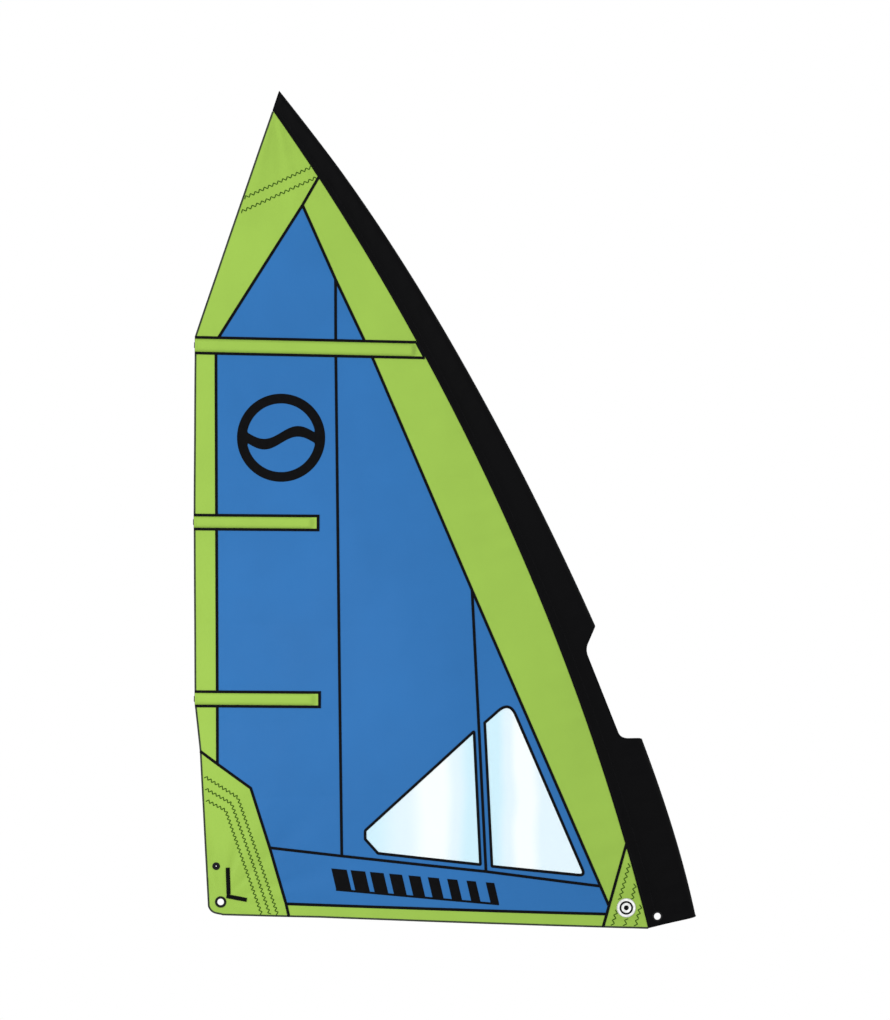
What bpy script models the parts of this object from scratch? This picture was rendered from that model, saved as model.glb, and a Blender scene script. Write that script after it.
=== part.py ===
"""Windsurf sail, 5.7 square metres, with luff sleeve, three battens and sewn-in windows.

The sail stands upright as it is set on a mast: +Z up the luff, +X towards the
mast (luff), -X towards the leech, and the belly of the sail swells to -Y.
The origin is the mouth of the luff sleeve, on the mast's axis.  Metres.

Every cloth piece is cut in the X-Z plane and laid on one cambered surface,
cloth_y(x, z), so neighbouring panels butt and sewn-on pieces lie parallel.
"""
import math

import bmesh
import bpy
from mathutils import Vector
from mathutils.geometry import delaunay_2d_cdt

# ------------------------------------------------------------------ sizes
# plan shape (x, z)
HEAD_TIP = (-1.915, 3.861)
LEECH = [(-1.946, 3.768), (-2.304, 2.710), (-2.311, 1.880), (-2.309, 1.000), (-2.285, 0.778), (-2.248, 0.070)]
FOOT = [(-2.181, 0.014), (-1.870, 0.0070), (-1.724, 0.0045), (-0.405, -0.0400), (-0.194, -0.0470)]
LUFF_FRONT = (0.0306, -0.20874, -0.13672, 0.03298, -0.0045)  # x of the sleeve's front edge, powers of z
SLEEVE_SEAM = (-0.2060, -0.25735, -0.04693, -0.00186)  # x of the sleeve's sewn edge, powers of z
SEAM_Z = (-0.047, 3.768)  # lowest and highest point of the sewn edge
FRONT_RISE = (0.053, 0.093)  # how much higher the front edge is than the sewn edge, foot and head

# section shape
DRAFT_FOOT, DRAFT_MAX, DRAFT_HEAD = 0.028, 0.062, 0.005  # depth over chord
DRAFT_MAX_Z, DRAFT_END_Z = 0.95, 2.55
DRAFT_AT = 0.40  # fraction of the chord where the depth is greatest
FLAT_FROM = 1 - math.sqrt(1 - 2 * DRAFT_AT)  # the section is straight from here to the leech
TWIST_DEG, TWIST_Z = 9.0, (0.90, 3.86)

# cloth
CLOTH = 0.0010
GAP = 0.0003  # half the gap between butted panels
TONGUE = 0.022  # panel edge caught between the sleeve's two layers
TAPE_W, TAPE_T, TAPE_OFF = 0.011, 0.0006, 0.0016
HEM_W = 0.012
FILM_T, FILM_OFF, FILM_LAP = 0.0006, 0.0024, 0.010

# luff sleeve
SLEEVE_T = 0.0012
SLEEVE_R = (0.031, 0.0185)  # front radius round the mast, foot and head
SLEEVE_FLANGE = 0.35  # share of the width sewn flat
SLEEVE_HALF = 0.0028  # half thickness of the flat part
CUTOUT = [(-0.4400, 1.3690), (-0.4840, 1.2680), (-0.4840, 1.2380), (-0.3295, 0.8490), (-0.3030, 0.8355), (-0.2240, 0.8355)]

# seams of the plan
HEAD_SEAM = [(-1.729, 3.460), (-1.806, 3.325), (-2.193, 2.710)]
LUFF_SEAM = [(-1.806, 3.325), (-1.652, 2.978), (-1.480, 2.614), (-1.016, 1.531), (-0.4175, 0.1505)]
AFT_VERTICAL = [(-1.652, 2.978), (-1.651, 2.659), (-1.623, 0.2905)]
FORE_VERTICAL = [(-1.016, 1.531), (-0.951, 0.2205)]
FOOT_SEAM = [(-1.9595, 0.3280), (-1.623, 0.2905), (-0.951, 0.2205), (-0.4175, 0.1505)]
STRIP_SEAM = [(-1.8836, 0.0660), (-0.3893, 0.0205)]
CLEW_SEAM = [(-2.285, 0.778), (-2.204, 0.718), (-2.048, 0.606), (-1.9595, 0.3280), (-1.8836, 0.0660), (-1.870, 0.0070)]
TACK_SEAM = [(-0.299, 0.338), (-0.405, -0.0400)]
LEECH_SEAM = [(-2.2076, 2.660), (-2.204, 0.718)]

# windows, corner by corner with the corner radius
WINDOW_AFT = [((-1.014, 0.869), 0.014), ((-0.977, 0.253), 0.014), ((-1.454, 0.304), 0.014), ((-1.5136, 0.370), 0.014), ((-1.5136, 0.410), 0.020)]
WINDOW_FORE = [((-0.957, 0.915), 0.016), ((-0.8416, 1.0160), 0.040), ((-0.489, 0.200), 0.018), ((-0.923, 0.245), 0.014)]

# batten pockets: leech end and luff end of the centre line, half width, batten length
POCKETS = {
    "top": ((-2.3040, 2.6705), (-1.2570, 2.6497), 0.0365, 0.930),
    "middle": ((-2.3105, 1.8475), (-1.7330, 1.8430), 0.0325, 0.465),
    "lower": ((-2.3090, 1.0225), (-1.7260, 1.0205), 0.0335, 0.470),
}
BATTEN_W, BATTEN_T = 0.022, 0.0030
CAP_W, CAP_T, CAP_L, CAP_OUT = 0.028, 0.0052, 0.034, 0.005
TIP_W, TIP_T, TIP_L = 0.026, 0.0046, 0.028
POCKET_T, POCKET_OFF = 0.0008, 0.0017

# hardware: centre, hole radius, flange radius, half of what it clamps
CLEW_EYE = ((-2.189, 0.074), 0.0160, 0.0240, 0.0005)
OUTHAUL_EYE = ((-2.210, 0.241), 0.0035, 0.0180, 0.0005)
TACK_EYE = ((-0.151, 0.0085), 0.0160, 0.0240, SLEEVE_HALF)
BARREL_WALL, FLANGE_T, EYE_CLEAR = 0.0018, 0.0016, 0.0008
STRAP_W, STRAP_T = 0.019, 0.0016
BADGE = ((-0.2965, 0.049), 0.044)
EMBLEM_CENTRE, EMBLEM_R, EMBLEM_BAND = (-1.905, 2.240), 0.205, 0.045

BLUE, GREEN, BLACK = (0.037, 0.183, 0.491, 1), (0.342, 0.571, 0.082, 1), (0.006, 0.006, 0.007, 1)
FILM, STEEL, WHITE, GLASSFIBRE = (0.82, 0.94, 0.98, 1), (0.55, 0.56, 0.58, 1), (0.85, 0.85, 0.85, 1), (0.55, 0.53, 0.42, 1)


# ------------------------------------------------------------------ shape of the sail
def poly(c, t):
    return sum(a * t**i for i, a in enumerate(c))


def smooth(t):
    t = min(max(t, 0.0), 1.0)
    return t * t * (3 - 2 * t)


def along_z(points, z):
    """x on a polyline that runs down in z, carried on past its ends."""
    for (x0, z0), (x1, z1) in zip(points, points[1:]):
        if z >= z1 or (x1, z1) == points[-1]:
            return x0 + (x1 - x0) * (z - z0) / (z1 - z0)


def front_x(z):
    return poly(LUFF_FRONT, z)


def seam_x(z):
    return poly(SLEEVE_SEAM, z)


def leech_x(z):
    return along_z([HEAD_TIP] + LEECH, z)


def draft(z):
    if z < DRAFT_MAX_Z:
        return DRAFT_FOOT + (DRAFT_MAX - DRAFT_FOOT) * smooth(z / DRAFT_MAX_Z)
    return DRAFT_HEAD + (DRAFT_MAX - DRAFT_HEAD) * (1 - smooth((z - DRAFT_MAX_Z) / (DRAFT_END_Z - DRAFT_MAX_Z)))


def cloth_y(x, z):
    """The sail's mid surface: belly to -Y, straight from FLAT_FROM to the leech, twisted open aloft."""
    chord = max(front_x(z) - leech_x(z), 0.02)
    u = max((front_x(z) - x) / chord, 0.0)
    if u <= FLAT_FROM:
        f = (2 * DRAFT_AT * u - u * u) / DRAFT_AT**2
    else:
        f1 = (2 * DRAFT_AT * FLAT_FROM - FLAT_FROM**2) / DRAFT_AT**2
        f = f1 * (1 - u) / (1 - FLAT_FROM)
    twist = math.radians(TWIST_DEG) * max((z - TWIST_Z[0]) / (TWIST_Z[1] - TWIST_Z[0]), 0.0) ** 1.3
    return -chord * (draft(z) * f + u * math.tan(twist))


def on_cloth(x, z, off=0.0):
    return Vector((x, cloth_y(x, z) + off, z))


def cloth_normal(x, z):
    """Unit normal of the sail, out of its -Y face."""
    e = 0.004
    a = on_cloth(x + e, z) - on_cloth(x - e, z)
    b = on_cloth(x, z + e) - on_cloth(x, z - e)
    n = b.cross(a)
    n.normalize()
    return n if n.y < 0 else -n


# ------------------------------------------------------------------ plane figures
def area(p):
    return 0.5 * sum(a[0] * b[1] - b[0] * a[1] for a, b in zip(p, p[1:] + p[:1]))


def ccw(p):
    return list(p) if area(p) > 0 else list(reversed(p))


def grow(p, g):
    """Move every side of a closed figure out by g (in, if negative)."""
    p = ccw(p)
    out = []
    for i, c in enumerate(p):
        a, b = p[i - 1], p[(i + 1) % len(p)]
        d0 = Vector((c[0] - a[0], c[1] - a[1])).normalized()
        d1 = Vector((b[0] - c[0], b[1] - c[1])).normalized()
        n0, n1 = Vector((d0.y, -d0.x)), Vector((d1.y, -d1.x))
        m = (n0 + n1).normalized()
        k = g / max(m.dot(n0), 0.35)
        out.append((c[0] + m.x * k, c[1] + m.y * k))
    return out


def rounded(corners, n=4):
    """A closed figure with each corner rounded to its own radius."""
    pts = [c for c, _ in corners]
    out = []
    for i, (c, r) in enumerate(corners):
        c = Vector(c)
        a = (Vector(pts[i - 1]) - c).normalized()
        b = (Vector(pts[(i + 1) % len(pts)]) - c).normalized()
        half = a.angle(b) / 2
        back = r / math.tan(half)
        p0, p1 = c + a * back, c + b * back
        for k in range(n + 1):
            t = k / n
            q = p0 * (1 - t) ** 2 + c * 2 * t * (1 - t) + p1 * t * t
            out.append((q.x, q.y))
    return out


def circle(centre, r, n=24):
    return [(centre[0] + r * math.cos(2 * math.pi * k / n), centre[1] + r * math.sin(2 * math.pi * k / n)) for k in range(n)]


def band(path, width):
    """A strip of even width along a path, square at its ends."""
    left, right = [], []
    for i, c in enumerate(path):
        d0 = Vector((c[0] - path[i - 1][0], c[1] - path[i - 1][1])).normalized() if i else None
        d1 = Vector((path[i + 1][0] - c[0], path[i + 1][1] - c[1])).normalized() if i + 1 < len(path) else None
        d0, d1 = d0 or d1, d1 or d0
        m = Vector((-(d0.y + d1.y), d0.x + d1.x)).normalized()
        k = width / 2 / max(m.dot(Vector((-d0.y, d0.x))), 0.35)
        left.append((c[0] + m.x * k, c[1] + m.y * k))
        right.append((c[0] - m.x * k, c[1] - m.y * k))
    return left + right[::-1]


def trim(path, start=0.0, end=0.0):
    """Shorten a path at its ends."""
    p = [Vector(q) for q in path]
    if start:
        p[0] = p[0] + (p[1] - p[0]).normalized() * start
    if end:
        p[-1] = p[-1] + (p[-2] - p[-1]).normalized() * end
    return [(q.x, q.y) for q in p]


def split(p, step, closed=True):
    out = []
    n = len(p)
    for i in range(n if closed else n - 1):
        a, b = Vector(p[i]), Vector(p[(i + 1) % n])
        k = max(1, math.ceil((b - a).length / step - 1e-6))
        out += [tuple(a + (b - a) * (j / k)) for j in range(k)]
    return out if closed else out + [tuple(p[-1])]


def inside(q, p):
    x, y = q
    hit = False
    for (x0, y0), (x1, y1) in zip(p, p[1:] + p[:1]):
        if (y0 > y) != (y1 > y) and x < x0 + (x1 - x0) * (y - y0) / (y1 - y0):
            hit = not hit
    return hit


def near(q, p, d):
    q = Vector(q)
    for a, b in zip(p, p[1:] + p[:1]):
        a, b = Vector(a), Vector(b)
        t = min(max((q - a).dot(b - a) / max((b - a).length_squared, 1e-12), 0.0), 1.0)
        if (a + (b - a) * t - q).length < d:
            return True
    return False


def sleeve_edge(z0, z1, step=0.12):
    """The panels' luff edge from z0 to z1, caught TONGUE deep in the sleeve."""
    n = max(2, math.ceil(abs(z1 - z0) / step))
    return [(seam_x(z0 + (z1 - z0) * k / n) + TONGUE, z0 + (z1 - z0) * k / n) for k in range(n + 1)]


def leech_edge(z0, z1):
    mid = [p for p in LEECH if min(z0, z1) + 1e-4 < p[1] < max(z0, z1) - 1e-4]
    mid.sort(key=lambda p: -p[1] if z0 > z1 else p[1])
    return [(leech_x(z0), z0)] + mid + [(leech_x(z1), z1)]


def pocket_line(x):
    (x0, z0), (x1, z1) = POCKETS["top"][0], POCKETS["top"][1]
    return z0 + (z1 - z0) * (x - x0) / (x1 - x0)


def crossing(a, b, c, d):
    """Where line a-b meets line c-d."""
    r, s = (b[0] - a[0], b[1] - a[1]), (d[0] - c[0], d[1] - c[1])
    t = ((c[0] - a[0]) * s[1] - (c[1] - a[1]) * s[0]) / (r[0] * s[1] - r[1] * s[0])
    return (a[0] + t * r[0], a[1] + t * r[1])


# ------------------------------------------------------------------ building solids
def material(name, colour, rough, metal=0.0, alpha=1.0):
    m = bpy.data.materials.get(name)
    if m is None:
        m = bpy.data.materials.new(name)
        m.use_nodes = True
        b = m.node_tree.nodes["Principled BSDF"]
        b.inputs["Base Color"].default_value = colour
        b.inputs["Roughness"].default_value = rough
        b.inputs["Metallic"].default_value = metal
        b.inputs["Alpha"].default_value = alpha
        m.diffuse_color = colour
    return m


MATERIALS = {
    "blue": lambda: material("blue_cloth", BLUE, 0.55),
    "green": lambda: material("green_cloth", GREEN, 0.55),
    "black": lambda: material("black_cloth", BLACK, 0.7),
    "tape": lambda: material("black_tape", BLACK, 0.5),
    "film": lambda: material("window_film", FILM, 0.08, alpha=0.35),
    "steel": lambda: material("plated_metal", STEEL, 0.3, 1.0),
    "blackmetal": lambda: material("black_metal", BLACK, 0.35, 0.6),
    "webbing": lambda: material("webbing", BLACK, 0.8),
    "plastic": lambda: material("black_plastic", BLACK, 0.45),
    "batten": lambda: material("glass_fibre", GLASSFIBRE, 0.4),
    "white": lambda: material("white_badge", WHITE, 0.5),
}


def finish(name, bm, mat, origin=None, smooth_shade=False):
    bmesh.ops.remove_doubles(bm, verts=bm.verts, dist=1e-7)
    bmesh.ops.recalc_face_normals(bm, faces=bm.faces)
    me = bpy.data.meshes.new(name)
    if origin is not None:
        bmesh.ops.translate(bm, verts=bm.verts, vec=-Vector(origin))
    bm.to_mesh(me)
    bm.free()
    me.materials.append(MATERIALS[mat]())
    ob = bpy.data.objects.new(name, me)
    if origin is not None:
        ob.location = origin
    bpy.context.scene.collection.objects.link(ob)
    if smooth_shade:
        me.shade_smooth()
        me.set_sharp_from_angle(angle=math.radians(35))
    return ob


def sheet(name, outline, mat, mid=0.0, thick=CLOTH, holes=(), inset=GAP, step=0.09, extra=(), lift=None, grid=(0.09, 0.15)):
    """A cloth piece: a plane figure laid on the sail, mid off it along Y, thick through."""
    outer = split(grow(outline, -inset) if inset else ccw(outline), step)
    rings = [outer] + [split(ccw(h), step) for h in holes]
    verts, edges = [], []
    for r in rings:
        k = len(verts)
        verts += [Vector(q) for q in r]
        edges += [(k + i, k + (i + 1) % len(r)) for i in range(len(r))]
    xs, zs = [q[0] for q in outer], [q[1] for q in outer]
    clear = min(0.035, 0.45 * step)
    if grid:
        nx, nz = max(1, round((max(xs) - min(xs)) / grid[0])), max(1, round((max(zs) - min(zs)) / grid[1]))
        for i in range(1, nx):
            for j in range(1, nz):
                q = (min(xs) + (max(xs) - min(xs)) * i / nx, min(zs) + (max(zs) - min(zs)) * j / nz)
                if inside(q, outer) and not any(inside(q, h) for h in rings[1:]) and not any(near(q, r, clear) for r in rings):
                    verts.append(Vector(q))
    for line in extra:  # lines that the cloth keeps as creases
        k = len(verts)
        verts += [Vector(q) for q in line]
        edges += [(k + i, k + i + 1) for i in range(len(line) - 1)]
    pts, _, faces, *_ = delaunay_2d_cdt(verts, edges, [], 0, 1e-6)
    bm = bmesh.new()
    lift = lift or (lambda x, z: 0.0)
    lo = [bm.verts.new(on_cloth(q.x, q.y, mid + lift(q.x, q.y) - thick / 2)) for q in pts]
    hi = [bm.verts.new(on_cloth(q.x, q.y, mid + lift(q.x, q.y) + thick / 2)) for q in pts]
    rim = {}
    for f in faces:
        c = (sum(pts[i].x for i in f) / 3, sum(pts[i].y for i in f) / 3)
        if not inside(c, outer) or any(inside(c, h) for h in rings[1:]):
            continue
        bm.faces.new([lo[i] for i in f])
        bm.faces.new([hi[i] for i in reversed(f)])
        for a, b in zip(f, f[1:] + f[:1]):
            rim[(a, b)] = rim.get((a, b), 0) + 1
    for a, b in list(rim):
        if (b, a) not in rim:
            bm.faces.new([lo[b], lo[a], hi[a]])
            bm.faces.new([lo[b], hi[a], hi[b]])
    loose = [v for v in bm.verts if not v.link_faces]
    bmesh.ops.delete(bm, geom=loose, context="VERTS")
    return finish(name, bm, mat)


def tape(name, path, mat="tape", width=TAPE_W, off=-TAPE_OFF, thick=TAPE_T):
    return sheet(name, band(path, width), mat, mid=off, thick=thick, inset=0.0, step=0.07, grid=None)


def turned(name, profile, centre, normal, mat, n=24):
    """A ring turned round the normal at centre; profile is (radius, height along the normal)."""
    z = Vector(normal).normalized()
    x = Vector((0, 0, 1)).cross(z).normalized()
    y = z.cross(x)
    bm = bmesh.new()
    rows = [[bm.verts.new(centre + x * (r * math.cos(a)) + y * (r * math.sin(a)) + z * h)
             for a in (2 * math.pi * k / n for k in range(n))] if r > 1e-9 else bm.verts.new(centre + z * h) for r, h in profile]
    for a, b in zip(rows, rows[1:] + rows[:1]):
        if isinstance(a, list) and isinstance(b, list):
            for k in range(n):
                bm.faces.new([a[k], a[(k + 1) % n], b[(k + 1) % n], b[k]])
        elif isinstance(a, list):
            for k in range(n):
                bm.faces.new([a[k], a[(k + 1) % n], b])
        elif isinstance(b, list):
            for k in range(n):
                bm.faces.new([a, b[(k + 1) % n], b[k]])
    return finish(name, bm, mat, origin=centre, smooth_shade=True)


def bar(name, start, along, across, up, length, width, thick, mat, chamfer=0.0006, origin=None):
    """A flat bar with softened ends: start is the middle of its first end."""
    bm = bmesh.new()
    w, t, c = width / 2, thick / 2, chamfer
    rings = []
    for s, k in ((0.0, c * 3), (c * 4, 0.0), (length - c * 4, 0.0), (length, c * 3)):
        ww, tt = w - k, t - min(k, t * 0.4)
        loop = [(-ww, -tt + c), (-ww, tt - c), (-ww + c, tt), (ww - c, tt), (ww, tt - c), (ww, -tt + c), (ww - c, -tt), (-ww + c, -tt)]
        rings.append([bm.verts.new(start + along * s + across * a + up * b) for a, b in loop])
    for a, b in zip(rings, rings[1:]):
        for k in range(8):
            bm.faces.new([a[k], a[(k + 1) % 8], b[(k + 1) % 8], b[k]])
    bm.faces.new(rings[0])
    bm.faces.new(list(reversed(rings[-1])))
    return finish(name, bm, mat, origin=origin)


# ------------------------------------------------------------------ the luff sleeve
def sleeve_row(s):
    """Front point, sewn point, width and front radius at share s of the luff, foot to head."""
    zs = SEAM_Z[0] + (SEAM_Z[1] - SEAM_Z[0]) * s
    zf = zs + FRONT_RISE[0] + (FRONT_RISE[1] - FRONT_RISE[0]) * s
    front, sewn = Vector((front_x(zf), zf)), Vector((seam_x(zs), zs))
    if s > 0.90:  # the sewn edge and the front close on the head's corner
        t = smooth((s - 0.90) / 0.10)
        sewn = sewn.lerp(Vector(LEECH[0]), t)
        front = front.lerp(Vector(HEAD_TIP), t)
    r = SLEEVE_R[0] + (SLEEVE_R[1] - SLEEVE_R[0]) * s
    if s > 0.965:
        r *= 1 - 0.72 * smooth((s - 0.965) / 0.035)
    return front, sewn, (front - sewn).length, r


def sleeve_section(w, r, t, arc=4):
    """Half of the section, sewn edge to front: (distance back from the front, half thickness)."""
    flange, half = SLEEVE_FLANGE * w, SLEEVE_HALF - (SLEEVE_T if t else 0.0)
    ri = r - (SLEEVE_T if t else 0.0)
    lean = math.asin(min((r - SLEEVE_HALF) / (w - flange - r), 0.9))
    pts = [(w, half), (w - flange / 2, half), (w - flange, half)]
    end = math.pi / 2 + lean
    tangent = (r - ri * math.cos(end), ri * math.sin(end))
    for k in (1, 2):
        f = k / 3
        pts.append((pts[2][0] + (tangent[0] - pts[2][0]) * f, half + (tangent[1] - half) * f))
    for k in range(arc + 1):
        a = end * (1 - k / arc)
        pts.append((r - ri * math.cos(a), ri * math.sin(a)))
    return pts


def mast_axis(s):
    front, sewn, w, r = sleeve_row(s)
    q = front + (sewn - front) * (r / w)
    return on_cloth(q.x, q.y)


def sleeve_tube(name, rows):
    bm = bmesh.new()
    grid = []
    for s in rows:
        front, sewn, w, r = sleeve_row(s)
        loops = []
        for inner in (0, 1):
            half = sleeve_section(w, r, inner)
            loop = [(d, -t) for d, t in half] + [(d, t) for d, t in reversed(half[:-1])]
            pts = []
            for d, t in loop:
                q = front + (sewn - front) * (d / w)
                pts.append(bm.verts.new(on_cloth(q.x, q.y, t)))
            loops.append(pts)
        grid.append(loops)
    n = len(grid[0][0])
    for a, b in zip(grid, grid[1:]):
        for j in range(n - 1):
            for layer in (0, 1):
                bm.faces.new([a[layer][j], a[layer][j + 1], b[layer][j + 1], b[layer][j]])
        for j in (0, n - 1):
            bm.faces.new([a[0][j], a[1][j], b[1][j], b[0][j]])
    for a in (grid[0], grid[-1]):
        for j in range(n - 1):
            bm.faces.new([a[0][j], a[0][j + 1], a[1][j + 1], a[1][j]])
    return finish(name, bm, "black", smooth_shade=True)


def luff_sleeve():
    """The long sleeve and, above the top batten, its closed head."""
    joint = 22 / 27
    ob = sleeve_tube("luff_sleeve", [k / 27 for k in range(23)])
    sleeve_tube("luff_sleeve_head", [joint + 0.0001, 23 / 27, 24 / 27, 25 / 27, 0.945, 0.965, 0.985, 1.0])
    # boom cut-out, right through both layers
    outline = CUTOUT + [(0.05, 0.8355), (0.05, 1.369)]
    cut = prism("boom_cutout_cutter", outline)
    hole = turned("tack_hole_cutter", [(0, -0.02), (TACK_EYE[1] + BARREL_WALL + 0.0004, -0.02), (TACK_EYE[1] + BARREL_WALL + 0.0004, 0.02), (0, 0.02)],
                  on_cloth(*TACK_EYE[0]), cloth_normal(*TACK_EYE[0]), "black")
    for c in (cut, hole):
        c.hide_render = True
        c.display_type = "WIRE"
        m = ob.modifiers.new(c.name, "BOOLEAN")
        m.operation = "DIFFERENCE"
        m.object = c
    return ob


def prism(name, outline):
    bm = bmesh.new()
    p = ccw(outline)
    lo = [bm.verts.new((x, -0.12, z)) for x, z in p]
    hi = [bm.verts.new((x, 0.09, z)) for x, z in p]
    bm.faces.new(lo)
    bm.faces.new(list(reversed(hi)))
    for k in range(len(p)):
        j = (k + 1) % len(p)
        bm.faces.new([lo[k], lo[j], hi[j], hi[k]])
    return finish(name, bm, "black")


# ------------------------------------------------------------------ battens
def pocket_frame(key):
    """Batten line: its luff end, its direction to the leech, the deepest bulge needed and the cloth's direction across."""
    (x0, z0), (x1, z1), half, length = POCKETS[key]
    a, b = on_cloth(x0, z0), on_cloth(x1, z1)
    steps = [k / 24 for k in range(25)]
    # the batten lies against the cloth at the point that stands out most to -Y
    dev = []
    for f in steps:
        x, z = x0 + (x1 - x0) * f, z0 + (z1 - z0) * f
        for off in (-CAP_W / 2, 0.0, CAP_W / 2):
            dev.append(cloth_y(x, z + off) - (a.y + (b.y - a.y) * f))
    near_side, far_side = min(dev), max(dev)
    shift = near_side - CLOTH / 2 - 0.0007 - CAP_T / 2
    a.y += shift
    b.y += shift
    along = (a - b).normalized()
    across = Vector((0, 0, 1))
    across = (across - along * across.dot(along)).normalized()
    up = along.cross(across)
    if up.y > 0:
        up = -up
    bulge = (far_side - near_side) + CAP_T + 0.0007 + 0.0011
    return a, b, along, across, up, bulge


def pocket(key):
    (x0, z0), (x1, z1), half, length = POCKETS[key]
    bulge = pocket_frame(key)[-1] / 0.80
    flat = half - 0.007
    axis = Vector((x1 - x0, z1 - z0))
    full = axis.length
    axis.normalize()
    side = Vector((-axis.y, axis.x))
    end_flat = 0.014

    def place(s, t):
        q = Vector((x0, z0)) + axis * s + side * t
        return (q.x, q.y)

    def lift(x, z):
        q = Vector((x - x0, z - z0))
        s, t = q.dot(axis), q.dot(side)
        k = min(abs(t) / flat, 1.0)
        e = smooth((full - end_flat - s) / 0.026)
        return -bulge * (1 - k**4) * e

    corners = [place(0.0, -half), place(full, -half), place(full, half), place(0.0, half)]
    if key == "top":  # its luff end follows the sleeve's sewn edge
        corners[1:3] = [(seam_x(z) - 0.004, z) for _, z in corners[1:3]]
    ts = [k * flat for k in (-1, -0.82, -0.6, 0, 0.6, 0.82, 1)]
    n = max(2, round((full - 0.06) / 0.13))
    ss = [(full - 0.046) * k / n for k in range(n + 1)] + [full - 0.030, full - 0.020, full - end_flat]
    extra = [[place(s, t) for s in ss] for t in ts]
    mouth = [place(0.0, t) for t in ts]
    outline = [corners[0], corners[1], corners[2], corners[3]] + list(reversed(mouth))
    return sheet(f"{key}_batten_pocket", outline, "green", mid=-POCKET_OFF, thick=POCKET_T, inset=0.0, step=0.15,
                 extra=extra, lift=lift, grid=None)


def batten(key):
    (x0, z0), (x1, z1), half, length = POCKETS[key]
    a, b, along, across, up, bulge = pocket_frame(key)
    mouth = a + along * CAP_OUT  # outer end of the end cap
    home = mouth - along * (CAP_L + 0.0004)
    bar(f"{key}_batten_end_cap", home + along * 0.0004, along, across, up, CAP_L, CAP_W, CAP_T, "plastic", origin=mouth)
    tip_start = home - along * (length + TIP_L + 0.0008)
    bar(f"{key}_batten", tip_start + along * (TIP_L + 0.0004), along, across, up, length, BATTEN_W, BATTEN_T, "batten", origin=mouth)
    bar(f"{key}_batten_tip", tip_start, along, across, up, TIP_L, TIP_W, TIP_T, "plastic", origin=mouth)


# ------------------------------------------------------------------ eyelets
def eyelet(name, spec, mat):
    (x, z), hole, flange, half = spec
    centre, n = on_cloth(x, z), cloth_normal(x, z)
    top = half + EYE_CLEAR  # clearance over the cloth under each flange
    b = hole + BARREL_WALL
    ring = [(hole, top + FLANGE_T), (flange, top + FLANGE_T), (flange, top), (b, top), (b, -top - FLANGE_T - 0.0004), (hole, -top - FLANGE_T - 0.0004)]
    turned(f"{name}_ring", ring, centre, n, mat)
    washer = [(b + 0.0004, -top), (flange, -top), (flange, -top - FLANGE_T), (b + 0.0004, -top - FLANGE_T)]
    turned(f"{name}_washer", washer, centre, n, mat)


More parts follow.
